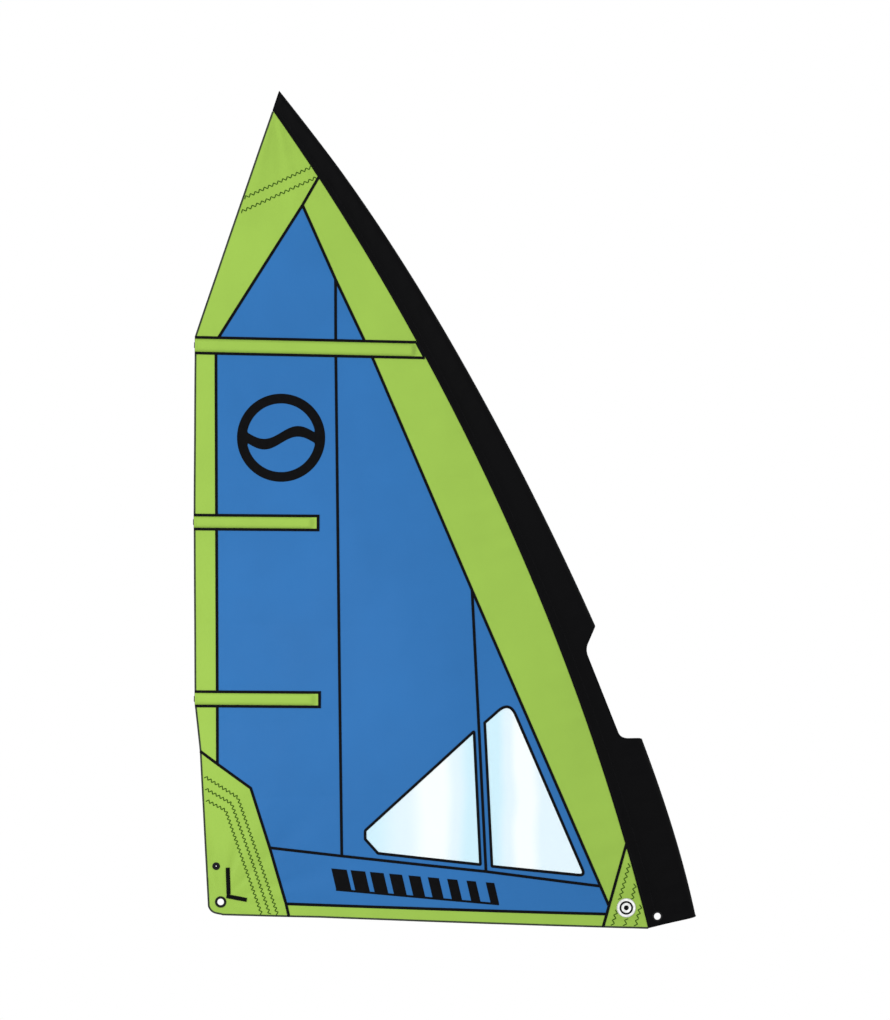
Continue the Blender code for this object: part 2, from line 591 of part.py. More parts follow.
# ------------------------------------------------------------------ the sail
def build():
    for ob in list(bpy.data.objects):
        bpy.data.objects.remove(ob, do_unlink=True)

    lt = crossing(LUFF_SEAM[1], LUFF_SEAM[2], POCKETS["top"][0], POCKETS["top"][1])
    vt = crossing(AFT_VERTICAL[0], AFT_VERTICAL[1], POCKETS["top"][0], POCKETS["top"][1])
    ht = crossing(HEAD_SEAM[1], HEAD_SEAM[2], POCKETS["top"][0], POCKETS["top"][1])
    kt = (LEECH_SEAM[0][0], pocket_line(LEECH_SEAM[0][0]))
    z_luff = pocket_line(seam_x(2.65))
    z_leech = POCKETS["top"][0][1]
    low_luff = crossing(LUFF_SEAM[3], LUFF_SEAM[4], TACK_SEAM[0], TACK_SEAM[1])
    strip_fore = crossing(STRIP_SEAM[0], STRIP_SEAM[1], TACK_SEAM[0], TACK_SEAM[1])

    # single-ply panels
    sheet("head_patch", sleeve_edge(3.748, HEAD_SEAM[0][1]) + HEAD_SEAM[:2] + [ht] + leech_edge(z_leech, 3.748), "green")
    sheet("luff_panel_upper", [HEAD_SEAM[0]] + sleeve_edge(HEAD_SEAM[0][1], z_luff) + [lt] + LUFF_SEAM[1::-1], "green")
    sheet("upper_panel_aft", [LUFF_SEAM[0], LUFF_SEAM[1], vt, ht], "blue")
    sheet("upper_panel_fore", [LUFF_SEAM[1], lt, vt], "blue")
    sheet("luff_panel_lower", [lt] + sleeve_edge(z_luff, TACK_SEAM[0][1]) + [TACK_SEAM[0], low_luff] + LUFF_SEAM[:1:-1], "green")
    sheet("leech_panel", leech_edge(z_leech, CLEW_SEAM[0][1]) + [CLEW_SEAM[1], kt], "green")
    sheet("body_panel_aft", [kt, vt, AFT_VERTICAL[2], CLEW_SEAM[3], CLEW_SEAM[2], CLEW_SEAM[1]], "blue")
    aft_hole, fore_hole = rounded(WINDOW_AFT), rounded(WINDOW_FORE)
    sheet("body_panel_middle", [vt, lt, LUFF_SEAM[2], LUFF_SEAM[3], FORE_VERTICAL[1], AFT_VERTICAL[2]], "blue", holes=[aft_hole])
    sheet("body_panel_fore", [LUFF_SEAM[3], LUFF_SEAM[4], FORE_VERTICAL[1]], "blue", holes=[fore_hole])
    sheet("foot_panel", FOOT_SEAM + [low_luff, strip_fore, STRIP_SEAM[0]], "blue")
    sheet("foot_strip", [STRIP_SEAM[0], strip_fore, TACK_SEAM[1]] + FOOT[2:0:-1], "green")
    clew_round = [(-2.2465, 0.052), (-2.236, 0.034), (-2.218, 0.022)]
    sheet("clew_patch", CLEW_SEAM + [FOOT[0]] + clew_round[::-1] + leech_edge(0.070, CLEW_SEAM[0][1])[:-1], "green",
          holes=[circle(CLEW_EYE[0], CLEW_EYE[1] + BARREL_WALL + 0.0004), circle(OUTHAUL_EYE[0], OUTHAUL_EYE[1] + BARREL_WALL + 0.0004, 16)])
    sheet("tack_patch", [TACK_SEAM[0], TACK_SEAM[1], FOOT[4], (FOOT[4][0] + TONGUE, FOOT[4][1] + 0.007)] + sleeve_edge(-0.030, TACK_SEAM[0][1]), "green")

    # clear film windows, sewn behind their openings, and the tape that binds them
    for side, hole in (("aft", aft_hole), ("fore", fore_hole)):
        sheet(f"window_{side}", grow(hole, FILM_LAP), "film", mid=FILM_OFF, thick=FILM_T, inset=0.0)
        sheet(f"window_tape_{side}", grow(hole, TAPE_W / 2), "tape", mid=-TAPE_OFF, thick=TAPE_T, inset=0.0, step=0.07, holes=[grow(hole, -TAPE_W / 2)], grid=None)

    # sleeve and the cup that takes the mast's tip
    luff_sleeve()
    tip, below = mast_axis(0.955), mast_axis(0.930)
    up = (tip - below).normalized()
    turned("mast_tip_cap", [(0, 0.0), (0.0095, 0.0), (0.0120, -0.003), (0.0120, -0.065), (0.0095, -0.065), (0.0095, -0.004), (0, -0.004)],
           tip, up, "plastic", n=20)

    # seam tapes, stopped short where another piece crosses
    k = TAPE_W / 2 + 0.0012
    top_half = POCKETS["top"][2]
    # where the seams meet the edges of the top pocket
    def edge_of_pocket(a, b, sign, key="top", clear=0.0012):
        (px0, pz0), (px1, pz1), half, _ = POCKETS[key]
        o = sign * (half + clear)
        return crossing(a, b, (px0, pz0 + o), (px1, pz1 + o))

    head_end = edge_of_pocket(HEAD_SEAM[1], HEAD_SEAM[2], 1, clear=0.006)
    tape("head_seam_tape", trim([HEAD_SEAM[0], HEAD_SEAM[1], head_end], 0.013))
    tape("luff_seam_tape_upper", trim([LUFF_SEAM[0], LUFF_SEAM[1], edge_of_pocket(LUFF_SEAM[1], LUFF_SEAM[2], 1, clear=0.005)], 0.016))
    tape("luff_seam_tape_lower", trim([edge_of_pocket(LUFF_SEAM[2], LUFF_SEAM[3], -1, clear=0.005), LUFF_SEAM[3], LUFF_SEAM[4], low_luff], 0, 0.017))
    tape("aft_seam_tape_upper", trim([AFT_VERTICAL[0], edge_of_pocket(AFT_VERTICAL[0], AFT_VERTICAL[1], 1)], 0.032))
    tape("aft_seam_tape_lower", trim([edge_of_pocket(AFT_VERTICAL[1], AFT_VERTICAL[2], -1), AFT_VERTICAL[2]], 0, k))
    tape("fore_seam_tape", trim(FORE_VERTICAL, 0.032, k))
    ls = LEECH_SEAM
    tape("leech_seam_tape_upper", [edge_of_pocket(*ls, -1), edge_of_pocket(*ls, 1, "middle")])
    tape("leech_seam_tape_middle", [edge_of_pocket(*ls, -1, "middle"), edge_of_pocket(*ls, 1, "lower")])
    tape("leech_seam_tape_lower", trim([edge_of_pocket(*ls, -1, "lower"), CLEW_SEAM[1]], 0, 0.013))
    tape("foot_seam_tape", trim(FOOT_SEAM, 0.010, 0.011))
    tape("foot_strip_seam_tape", trim([STRIP_SEAM[0], strip_fore], 0.010, 0.010))
    tape("clew_seam_tape", trim(CLEW_SEAM, 0.002, 0.002))
    tape("tack_seam_tape", trim(TACK_SEAM, 0.012, 0.002))

    # hems of the leech and the foot, turned over onto the +Y face
    leech_in = [(x + HEM_W / 2 + 0.0006, z) for x, z in LEECH]
    tape("leech_hem", trim(leech_in, 0.030, 0.0), width=HEM_W, off=0.0017, mat="black")
    foot_in = [(x, z + HEM_W / 2 + 0.0006) for x, z in FOOT]
    tape("foot_hem", trim(foot_in, 0.0, 0.010), width=HEM_W, off=0.0017, mat="black")

    # battens in their pockets
    for key in POCKETS:
        pocket(key)
        batten(key)

    # eyelets
    eyelet("clew_eyelet", CLEW_EYE, "blackmetal")
    eyelet("outhaul_eyelet", OUTHAUL_EYE, "blackmetal")
    eyelet("tack_eyelet", TACK_EYE, "blackmetal")

    # webbing that spreads the clew load, a badge and the sewn-on insignia
    tape("clew_strap_leech", [(-2.1560, 0.2340), (-2.1525, 0.1140)], mat="webbing", width=STRAP_W, off=-0.0021, thick=STRAP_T)
    tape("clew_strap_foot", [(-2.1620, 0.1015), (-2.0670, 0.0840)], mat="webbing", width=STRAP_W, off=-0.0021, thick=STRAP_T)
    sheet("tack_badge", circle(*BADGE, 28), "white", mid=-0.0018, thick=0.0008, inset=0.0, step=0.05, grid=(0.04, 0.04))
    emblem()
    stripe()


def emblem():
    """A plain ring crossed by one wave band, cut from sticky-backed cloth."""
    cx, cz = EMBLEM_CENTRE
    r = EMBLEM_R - EMBLEM_BAND
    wave = lambda x: 0.030 * math.sin(x / r * 3.2)
    holes = []
    for sign in (1, -1):
        edge = [(-r * 0.965 + 2 * r * 0.965 * k / 14) for k in range(15)]
        low = [(x, wave(x) + sign * EMBLEM_BAND * 0.55) for x in edge]
        a0, a1 = math.atan2(low[-1][1], low[-1][0]), math.atan2(low[0][1], low[0][0])
        if sign > 0:
            a1 += 2 * math.pi if a1 < a0 else 0
        else:
            a1 -= 2 * math.pi if a1 > a0 else 0
        arc = [(r * math.cos(a0 + (a1 - a0) * k / 18), r * math.sin(a0 + (a1 - a0) * k / 18)) for k in range(1, 18)]
        holes.append([(cx + x, cz + z) for x, z in low + arc])
    sheet("emblem", circle(EMBLEM_CENTRE, EMBLEM_R, 36), "tape", mid=-0.0016, thick=0.0006, inset=0.0, step=0.05, holes=holes, grid=None)


def stripe():
    """A row of slanted bars on one thin base line, for the foot panel."""
    x0, x1, top, lean = -1.650, -0.840, 0.104, 0.022
    base = lambda x: 0.1285 - (x - x0) * 0.0865
    count, rail = 9, 0.010
    pitch = (x1 - x0) / count
    pts = [(x0, base(x0))]
    upper = []
    for i in range(count):
        a = x0 + i * pitch
        wide = pitch * (0.80 - 0.045 * i)
        b = a + wide
        upper += [(a, base(a) + rail), (a - lean, base(a) + top), (b - lean, base(b) + top), (b, base(b) + rail)]
    end = x0 + (count - 1) * pitch + pitch * (0.80 - 0.045 * (count - 1))
    pts += [(end, base(end))] + list(reversed(upper))
    sheet("foot_stripe", pts, "tape", mid=-0.0018, thick=0.0006, inset=0.0, step=0.05, grid=None)


build()
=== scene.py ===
"""Looks for the windsurf sail: cloth panels with seams, stitching and creases, luff sleeve, film windows, pockets and eyelets."""

import math

import bmesh
import bpy
import numpy as np
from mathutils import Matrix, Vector
from mathutils.geometry import delaunay_2d_cdt
from mathutils.kdtree import KDTree


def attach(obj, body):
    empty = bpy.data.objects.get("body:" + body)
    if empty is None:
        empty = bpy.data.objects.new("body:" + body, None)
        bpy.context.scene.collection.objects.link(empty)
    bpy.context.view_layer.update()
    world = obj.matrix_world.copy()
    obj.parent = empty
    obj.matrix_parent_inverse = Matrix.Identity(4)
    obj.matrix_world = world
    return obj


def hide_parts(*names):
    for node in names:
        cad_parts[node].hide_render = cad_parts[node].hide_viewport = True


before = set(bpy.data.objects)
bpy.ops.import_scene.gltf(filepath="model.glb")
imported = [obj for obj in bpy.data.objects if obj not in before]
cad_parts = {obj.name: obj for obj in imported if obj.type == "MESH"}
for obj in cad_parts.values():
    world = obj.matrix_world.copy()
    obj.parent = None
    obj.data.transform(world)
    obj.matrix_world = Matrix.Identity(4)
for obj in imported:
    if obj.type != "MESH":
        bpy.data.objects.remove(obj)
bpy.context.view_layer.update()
RES = 0.0125  # spacing of the cloth's points

# ------------------------------------------------------------------ the sail's plan, as in the CAD
HEAD_TIP = (-1.915, 3.861)
LEECH = [(-1.946, 3.768), (-2.304, 2.710), (-2.311, 1.880), (-2.309, 1.000), (-2.285, 0.778), (-2.248, 0.070)]
FOOT = [(-2.181, 0.014), (-1.870, 0.0070), (-1.724, 0.0045), (-0.405, -0.0400), (-0.194, -0.0470)]
LUFF_FRONT = (0.0306, -0.20874, -0.13672, 0.03298, -0.0045)
SLEEVE_SEAM = (-0.2060, -0.25735, -0.04693, -0.00186)
SEAM_Z = (-0.047, 3.768)
FRONT_RISE = (0.053, 0.093)
DRAFT_FOOT, DRAFT_MAX, DRAFT_HEAD = 0.028, 0.062, 0.005
DRAFT_MAX_Z, DRAFT_END_Z, DRAFT_AT = 0.95, 2.55, 0.40
FLAT_FROM = 1 - math.sqrt(1 - 2 * DRAFT_AT)
TWIST_DEG, TWIST_Z = 9.0, (0.90, 3.86)
CLOTH = 0.0010
TONGUE = 0.020
TAPE_W = 0.0130
FILM_OFF = 0.0024
SLEEVE_T = 0.0012
SLEEVE_R = (0.031, 0.0185)
SLEEVE_FLANGE, SLEEVE_HALF = 0.35, 0.0028
CUTOUT = [(-0.4400, 1.3690), (-0.4840, 1.2680), (-0.4840, 1.2380), (-0.3295, 0.8490), (-0.3030, 0.8355), (-0.2240, 0.8355)]
HEAD_SEAM = [(-1.729, 3.460), (-1.806, 3.325), (-2.193, 2.710)]
LUFF_SEAM = [(-1.806, 3.325), (-1.652, 2.978), (-1.480, 2.614), (-1.016, 1.531), (-0.4175, 0.1505)]
AFT_VERTICAL = [(-1.652, 2.978), (-1.651, 2.659), (-1.623, 0.2905)]
FORE_VERTICAL = [(-1.016, 1.531), (-0.951, 0.2205)]
FOOT_SEAM = [(-1.9595, 0.3280), (-1.623, 0.2905), (-0.951, 0.2205), (-0.4175, 0.1505)]
STRIP_SEAM = [(-1.8836, 0.0660), (-0.3893, 0.0205)]
CLEW_SEAM = [(-2.285, 0.778), (-2.204, 0.718), (-2.048, 0.606), (-1.9595, 0.3280), (-1.8836, 0.0660), (-1.870, 0.0070)]
TACK_SEAM = [(-0.299, 0.338), (-0.405, -0.0400)]
LEECH_SEAM = [(-2.2076, 2.660), (-2.204, 0.718)]


def through(points, n):
    """A smooth curve through points, end points included."""
    p = [np.array(q) for q in points]
    p = [2 * p[0] - p[1]] + p + [2 * p[-1] - p[-2]]
    out = []
    for a, b, c, d in zip(p, p[1:], p[2:], p[3:]):
        for k in range(n):
            t = k / n
            out.append(tuple(0.5 * (2 * b + (c - a) * t + (2 * a - 5 * b + 4 * c - d) * t * t + (3 * b - a - 3 * c + d) * t**3)))
    return out + [tuple(points[-1])]


CLEW_ROUND = through([LEECH[-1], (-2.2465, 0.052), (-2.236, 0.034), (-2.218, 0.022), FOOT[0]], 5)[1:-1]
WINDOW_AFT = [((-1.007, 0.875), 0.003), ((-0.977, 0.253), 0.004), ((-1.454, 0.304), 0.008), ((-1.5136, 0.370), 0.010), ((-1.5136, 0.410), 0.016)]
WINDOW_FORE = [((-0.957, 0.915), 0.004), ((-0.8416, 1.0160), 0.052), ((-0.489, 0.200), 0.018), ((-0.923, 0.245), 0.004)]
POCKETS = {
    "top": ((-2.3040, 2.6705), (-1.2570, 2.6497), 0.0365),
    "middle": ((-2.3105, 1.8475), (-1.7330, 1.8430), 0.0325),
    "lower": ((-2.3090, 1.0225), (-1.7260, 1.0205), 0.0335),
}
CLEW_EYE = ((-2.189, 0.074), 0.0160, 0.0240, 0.0005)
OUTHAUL_EYE = ((-2.210, 0.241), 0.0035, 0.0180, 0.0005)
TACK_EYE = ((-0.151, 0.0085), 0.0160, 0.0240, SLEEVE_HALF)
BARREL_WALL, FLANGE_T, EYE_CLEAR = 0.0018, 0.0016, 0.0008
BADGE = ((-0.2965, 0.049), 0.044)
EMBLEM_CENTRE, EMBLEM_R, EMBLEM_BAND = (-1.905, 2.240), 0.205, 0.045


# ------------------------------------------------------------------ surface of the sail
def poly(c, t):
    return sum(a * t**i for i, a in enumerate(c))


def sm(t):
    t = np.clip(t, 0.0, 1.0)
    return t * t * (3 - 2 * t)


def front_x(z):
    return poly(LUFF_FRONT, z)


def seam_x(z):
    return poly(SLEEVE_SEAM, z)


_LZ = np.array([p[1] for p in [HEAD_TIP] + LEECH][::-1])
_LX = np.array([p[0] for p in [HEAD_TIP] + LEECH][::-1])


def leech_x(z):
    z = np.asarray(z, float)
    x = np.interp(z, _LZ, _LX)
    return np.where(z < _LZ[0], _LX[0] + (_LX[1] - _LX[0]) * (z - _LZ[0]) / (_LZ[1] - _LZ[0]), x)


def cloth_y(x, z):
    x, z = np.asarray(x, float), np.asarray(z, float)
    chord = np.maximum(front_x(z) - leech_x(z), 0.02)
    u = np.maximum((front_x(z) - x) / chord, 0.0)
    f1 = (2 * DRAFT_AT * FLAT_FROM - FLAT_FROM**2) / DRAFT_AT**2
    f = np.where(u <= FLAT_FROM, (2 * DRAFT_AT * u - u * u) / DRAFT_AT**2, f1 * (1 - u) / (1 - FLAT_FROM))
    low = DRAFT_FOOT + (DRAFT_MAX - DRAFT_FOOT) * sm(z / DRAFT_MAX_Z)
    high = DRAFT_HEAD + (DRAFT_MAX - DRAFT_HEAD) * (1 - sm((z - DRAFT_MAX_Z) / (DRAFT_END_Z - DRAFT_MAX_Z)))
    draft = np.where(z < DRAFT_MAX_Z, low, high)
    twist = math.radians(TWIST_DEG) * np.maximum((z - TWIST_Z[0]) / (TWIST_Z[1] - TWIST_Z[0]), 0.0) ** 1.3
    return -chord * (draft * f + u * np.tan(twist))


def to_path(x, z, path):
    """Distance to a path and the length along it, for arrays of points."""
    best = np.full(x.shape, 1e9)
    where = np.zeros(x.shape)
    run = 0.0
    for (x0, z0), (x1, z1) in zip(path, path[1:]):
        dx, dz = x1 - x0, z1 - z0
        n = math.hypot(dx, dz)
        t = np.clip(((x - x0) * dx + (z - z0) * dz) / (n * n), 0, 1)
        d = np.hypot(x - x0 - t * dx, z - z0 - t * dz)
        closer = d < best
        best = np.where(closer, d, best)
        where = np.where(closer, run + t * n, where)
        run += n
    return best, where


def fan(x, z, centre, spokes, phase, amp, start, fade):
    """Tension creases that run out from a corner under load."""
    dx, dz = x - centre[0], z - centre[1]
    r, a = np.hypot(dx, dz), np.arctan2(dz, dx)
    wave = np.cos(spokes * a + phase + 0.9 * np.sin(3 * a + phase)) + 0.45 * np.cos(1.7 * spokes * a - phase)
    return amp * wave * np.exp(-r / fade) * sm(r / start)


def rounded(corners):
    pts = [c for c, _ in corners]
    out = []
    for i, (c, r) in enumerate(corners):
        c = Vector(c)
        a = (Vector(pts[i - 1]) - c).normalized()
        b = (Vector(pts[(i + 1) % len(pts)]) - c).normalized()
        back = r / math.tan(a.angle(b) / 2)
        p0, p1 = c + a * back, c + b * back
        n = max(4, round(r / 0.0035))
        for k in range(n + 1):
            t = k / n
            q = p0 * (1 - t) ** 2 + c * 2 * t * (1 - t) + p1 * t * t
            out.append((q.x, q.y))
    return out


HOLE_AFT, HOLE_FORE = rounded(WINDOW_AFT), rounded(WINDOW_FORE)
SEAM_LINES = [HEAD_SEAM, LUFF_SEAM, AFT_VERTICAL, FORE_VERTICAL, FOOT_SEAM, STRIP_SEAM, CLEW_SEAM, TACK_SEAM, LEECH_SEAM,
              HOLE_AFT + HOLE_AFT[:1], HOLE_FORE + HOLE_FORE[:1]]


def calm(x, z):
    """0 where hardware or a batten holds the cloth still, 1 elsewhere."""
    m = np.ones(x.shape)
    for (c, _, r, _) in (CLEW_EYE, OUTHAUL_EYE, TACK_EYE):
        m *= sm((np.hypot(x - c[0], z - c[1]) - r) / 0.05)
    for a, b, half in POCKETS.values():
        d, _ = to_path(x, z, [a, b])
        m *= 0.12 + 0.88 * sm((d - half) / 0.07)
    return m


def relief(x, z):
    """Small departures of real cloth from the smooth surface, in metres, + towards +Y."""
    x, z = np.asarray(x, float), np.asarray(z, float)
    y = 0.0016 * np.sin(2.3 * x + 1.1 * z + 0.4) * np.sin(1.9 * z - 0.7 * x + 1.1)
    y += 0.0010 * np.sin(5.1 * x - 2.7 * z + 2.0) * np.sin(3.3 * z + 1.9 * x)
    # soft hollows between the panels' seams
    y += 0.0013 * np.sin(13.0 * x + 4.0 * z + 1.3 * np.sin(2.3 * z)) * np.sin(7.5 * z - 4.0 * x + 1.1 * np.sin(3.1 * x))
    y += 0.0005 * np.sin(29.0 * x - 9.0 * z + 2.0 * np.sin(2.9 * z + x)) * np.sin(17.0 * z + 8.0 * x)
    y += fan(x, z, CLEW_EYE[0], 15, 0.7, 0.0030, 0.20, 0.45)
    y += fan(x, z, TACK_EYE[0], 13, 2.1, 0.0026, 0.18, 0.36)
    y += fan(x, z, (-1.935, 3.80), 17, 1.2, 0.0024, 0.16, 0.42)
    # short creases that the luff tension pulls out of the sleeve's seam
    slope = SLEEVE_SEAM[1] + 2 * SLEEVE_SEAM[2] * z
    d = np.maximum((seam_x(z) - x) / np.sqrt(1 + slope**2), 0.0)
    s = z * 1.12 + 0.35 * d
    swell = 0.55 + 0.45 * np.sin(2.1 * s + 0.6) * np.sin(5.3 * s)
    y += 0.0025 * swell * np.cos(2 * math.pi * s / 0.125 + 1.4 * np.sin(6.1 * s)) * np.exp(-d / 0.14)
    # the leech breathes between the battens
    e = np.maximum(x - leech_x(z), 0.0)
    y += 0.0024 * np.exp(-e / 0.16) * np.sin(2 * math.pi * z / 0.415 + 0.8 * np.sin(2.2 * z))
    # pucker along every seam
    for i, path in enumerate(SEAM_LINES):
        d, s = to_path(x, z, path)
        y += 0.00042 * np.exp(-((d / 0.022) ** 2)) * np.cos(2 * math.pi * s / 0.046 + 1.7 * i + 1.1 * np.sin(9 * s + i))
    # faint fold marks from the sail bag
    for z0, lean, amp in ((0.62, 0.03, 0.0007), (1.33, -0.02, 0.0006), (2.07, 0.015, 0.0007), (3.05, -0.03, 0.0005)):
        y += amp * np.exp(-(((z - z0 - lean * x) / 0.014) ** 2))
    return y * calm(x, z)


def skin(x, z, off=0.0):
    return cloth_y(x, z) + relief(x, z) + off


def skin_normal(x, z):
    """Unit normals out of the -Y face."""
    e = 0.003
    x, z = np.asarray(x, float), np.asarray(z, float)
    fx = (skin(x + e, z) - skin(x - e, z)) / (2 * e)
    fz = (skin(x, z + e) - skin(x, z - e)) / (2 * e)
    n = np.stack([fx, -np.ones_like(fx), fz], -1)
    return n / np.linalg.norm(n, axis=-1, keepdims=True)


# ------------------------------------------------------------------ plane figures
def area(p):
    return 0.5 * sum(a[0] * b[1] - b[0] * a[1] for a, b in zip(p, p[1:] + p[:1]))


def ccw(p):
    return list(p) if area(p) > 0 else list(reversed(p))


def grow(p, g):
    p = ccw(p)
    out = []
    for i, c in enumerate(p):
        a, b = p[i - 1], p[(i + 1) % len(p)]
        d0 = Vector((c[0] - a[0], c[1] - a[1])).normalized()
        d1 = Vector((b[0] - c[0], b[1] - c[1])).normalized()
        n0, n1 = Vector((d0.y, -d0.x)), Vector((d1.y, -d1.x))
        m = (n0 + n1).normalized()
        k = g / max(m.dot(n0), 0.35)
        out.append((c[0] + m.x * k, c[1] + m.y * k))
    return out


def circle(centre, r, n=48):
    return [(centre[0] + r * math.cos(2 * math.pi * k / n), centre[1] + r * math.sin(2 * math.pi * k / n)) for k in range(n)]


def split(p, step, closed=True):
    out = []
    n = len(p)
    for i in range(n if closed else n - 1):
        a, b = Vector(p[i]), Vector(p[(i + 1) % n])
        k = max(1, math.ceil((b - a).length / step - 1e-6))
        out += [tuple(a + (b - a) * (j / k)) for j in range(k)]
    return out if closed else out + [tuple(p[-1])]


def length(path):
    return sum(math.dist(a, b) for a, b in zip(path, path[1:]))


def inside(x, z, p):
    p = np.array(p)
    q = np.roll(p, -1, axis=0)
    hit = np.zeros(x.shape, bool)
    for (x0, y0), (x1, y1) in zip(p, q):
        if y0 == y1:
            continue
        hit ^= ((y0 > z) != (y1 > z)) & (x < x0 + (x1 - x0) * (z - y0) / (y1 - y0))
    return hit


def crossing(a, b, c, d):
    r, s = (b[0] - a[0], b[1] - a[1]), (d[0] - c[0], d[1] - c[1])
    t = ((c[0] - a[0]) * s[1] - (c[1] - a[1]) * s[0]) / (r[0] * s[1] - r[1] * s[0])
    return (a[0] + t * r[0], a[1] + t * r[1])


def trim(path, start=0.0, end=0.0):
    p = [Vector(q) for q in path]
    if start:
        p[0] = p[0] + (p[1] - p[0]).normalized() * start
    if end:
        p[-1] = p[-1] + (p[-2] - p[-1]).normalized() * end
    return [(q.x, q.y) for q in p]


def sleeve_edge(z0, z1, step=0.03):
    n = max(2, math.ceil(abs(z1 - z0) / step))
    return [(seam_x(z0 + (z1 - z0) * k / n) + TONGUE, z0 + (z1 - z0) * k / n) for k in range(n + 1)]


def leech_edge(z0, z1):
    mid = [p for p in LEECH if min(z0, z1) + 1e-4 < p[1] < max(z0, z1) - 1e-4]
    mid.sort(key=lambda p: -p[1] if z0 > z1 else p[1])
    return [(float(leech_x(z0)), z0)] + mid + [(float(leech_x(z1)), z1)]


def pocket_z(x):
    (x0, z0), (x1, z1) = POCKETS["top"][:2]
    return z0 + (z1 - z0) * (x - x0) / (x1 - x0)


# ------------------------------------------------------------------ meshes
def new_object(name, verts, faces, uv=None, smooth=True, angle=38):
    me = bpy.data.meshes.new(name)
    me.from_pydata([tuple(v) for v in verts], [], faces)
    if uv is not None:
        layer = me.uv_layers.new(name="UVMap")
        loops = np.zeros(len(me.loops), np.int32)
        me.loops.foreach_get("vertex_index", loops)
        layer.data.foreach_set("uv", np.asarray(uv, np.float32)[loops].ravel())
    bm = bmesh.new()
    bm.from_mesh(me)
    bmesh.ops.recalc_face_normals(bm, faces=bm.faces)
    bm.to_mesh(me)
    bm.free()
    if smooth:
        me.shade_smooth()
        me.set_sharp_from_angle(angle=math.radians(angle))
    ob = bpy.data.objects.new(name, me)
    bpy.context.scene.collection.objects.link(ob)
    return ob


def triangulate(outline, holes=(), res=RES, lines=()):
    """Points and triangles that fill a plane figure evenly."""
    rings = [split(ccw(outline), res)] + [split(ccw(h), res) for h in holes]
    pts, edges = [], []
    for r in rings:
        k = len(pts)
        pts += r
        edges += [(k + i, k + (i + 1) % len(r)) for i in range(len(r))]
    for line in lines:
        k = len(pts)
        pts += line
        edges += [(k + i, k + i + 1) for i in range(len(line) - 1)]
    tree = KDTree(len(pts))
    for i, p in enumerate(pts):
        tree.insert((p[0], p[1], 0), i)
    tree.balance()
    o = np.array(rings[0])
    lo, hi = o.min(0), o.max(0)
    rows = []
    h = res * 0.866
    for j in range(int((hi[1] - lo[1]) / h) + 1):
        xs = np.arange(lo[0] + (res / 2 if j % 2 else 0), hi[0], res)
        rows.append(np.stack([xs, np.full(xs.shape, lo[1] + (j + 0.5) * h)], -1))
    g = np.concatenate(rows) if rows else np.zeros((0, 2))
    keep = inside(g[:, 0], g[:, 1], rings[0])
    for r in rings[1:]:
        keep &= ~inside(g[:, 0], g[:, 1], r)
    g = g[keep]
    g = [tuple(q) for q in g if tree.find((q[0], q[1], 0))[2] > 0.55 * res]
    out, _, faces, *_ = delaunay_2d_cdt([Vector(p) for p in pts + g], edges, [], 0, 1e-6)
    xy = np.array([(q.x, q.y) for q in out])
    f = np.array([t for t in faces if len(t) == 3], int)
    c = xy[f].mean(1)
    keep = inside(c[:, 0], c[:, 1], rings[0])
    for r in rings[1:]:
        keep &= ~inside(c[:, 0], c[:, 1], r)
    f = f[keep]
    used = np.unique(f)
    index = np.full(len(xy), -1)
    index[used] = np.arange(len(used))
    return xy[used], index[f]


def rim_edges(tri):
    e = np.concatenate([tri[:, [0, 1]], tri[:, [1, 2]], tri[:, [2, 0]]])
    key = e[:, 0].astype(np.int64) * (tri.max() + 1) + e[:, 1]
    back = e[:, 1].astype(np.int64) * (tri.max() + 1) + e[:, 0]
    return e[~np.isin(key, back)]


def closed_sheet(name, lo, hi, tri, uv):
    """A thin closed solid between two layers of the same triangles."""
    n = len(lo)
    faces = tri.tolist() + (tri[:, ::-1] + n).tolist()
    faces += [[b, a, a + n, b + n] for a, b in rim_edges(tri).tolist()]
    return new_object(name, np.concatenate([lo, hi]), faces, np.concatenate([uv, uv]))


def turned_uv(p, deg):
    a = math.radians(deg)
    return np.stack([p[:, 0] * math.cos(a) + p[:, 1] * math.sin(a), -p[:, 0] * math.sin(a) + p[:, 1] * math.cos(a)], -1)


def cloth(name, outline, mat, off=0.0, thick=0.0008, holes=(), res=RES, grain=0.0, lift=None, lines=()):
    """A cut piece of cloth laid on the sail, off it along Y."""
    p, tri = triangulate(outline, holes, res, lines)
    y = skin(p[:, 0], p[:, 1], off)
    if lift is not None:
        y = y + lift(p[:, 0], p[:, 1])
    lo = np.stack([p[:, 0], y - thick / 2, p[:, 1]], -1)
    hi = np.stack([p[:, 0], y + thick / 2, p[:, 1]], -1)
    ob = closed_sheet(name, lo, hi, tri, turned_uv(p, grain))
    ob.data.materials.append(mat)
    return ob


def side_of(path, closed=False):
    """Unit sideways vectors (with the mitre's stretch) at each point of a path."""
    p = np.array(path)
    if closed:
        d0, d1 = p - np.roll(p, 1, 0), np.roll(p, -1, 0) - p
    else:
        d = np.diff(p, axis=0)
        d0, d1 = np.vstack([d[:1], d]), np.vstack([d, d[-1:]])
    d0 /= np.linalg.norm(d0, axis=1, keepdims=True)
    d1 /= np.linalg.norm(d1, axis=1, keepdims=True)
    n0, n1 = np.stack([-d0[:, 1], d0[:, 0]], -1), np.stack([-d1[:, 1], d1[:, 0]], -1)
    m = n0 + n1
    m /= np.linalg.norm(m, axis=1, keepdims=True)
    return m / np.maximum((m * n0).sum(1, keepdims=True), 0.4)


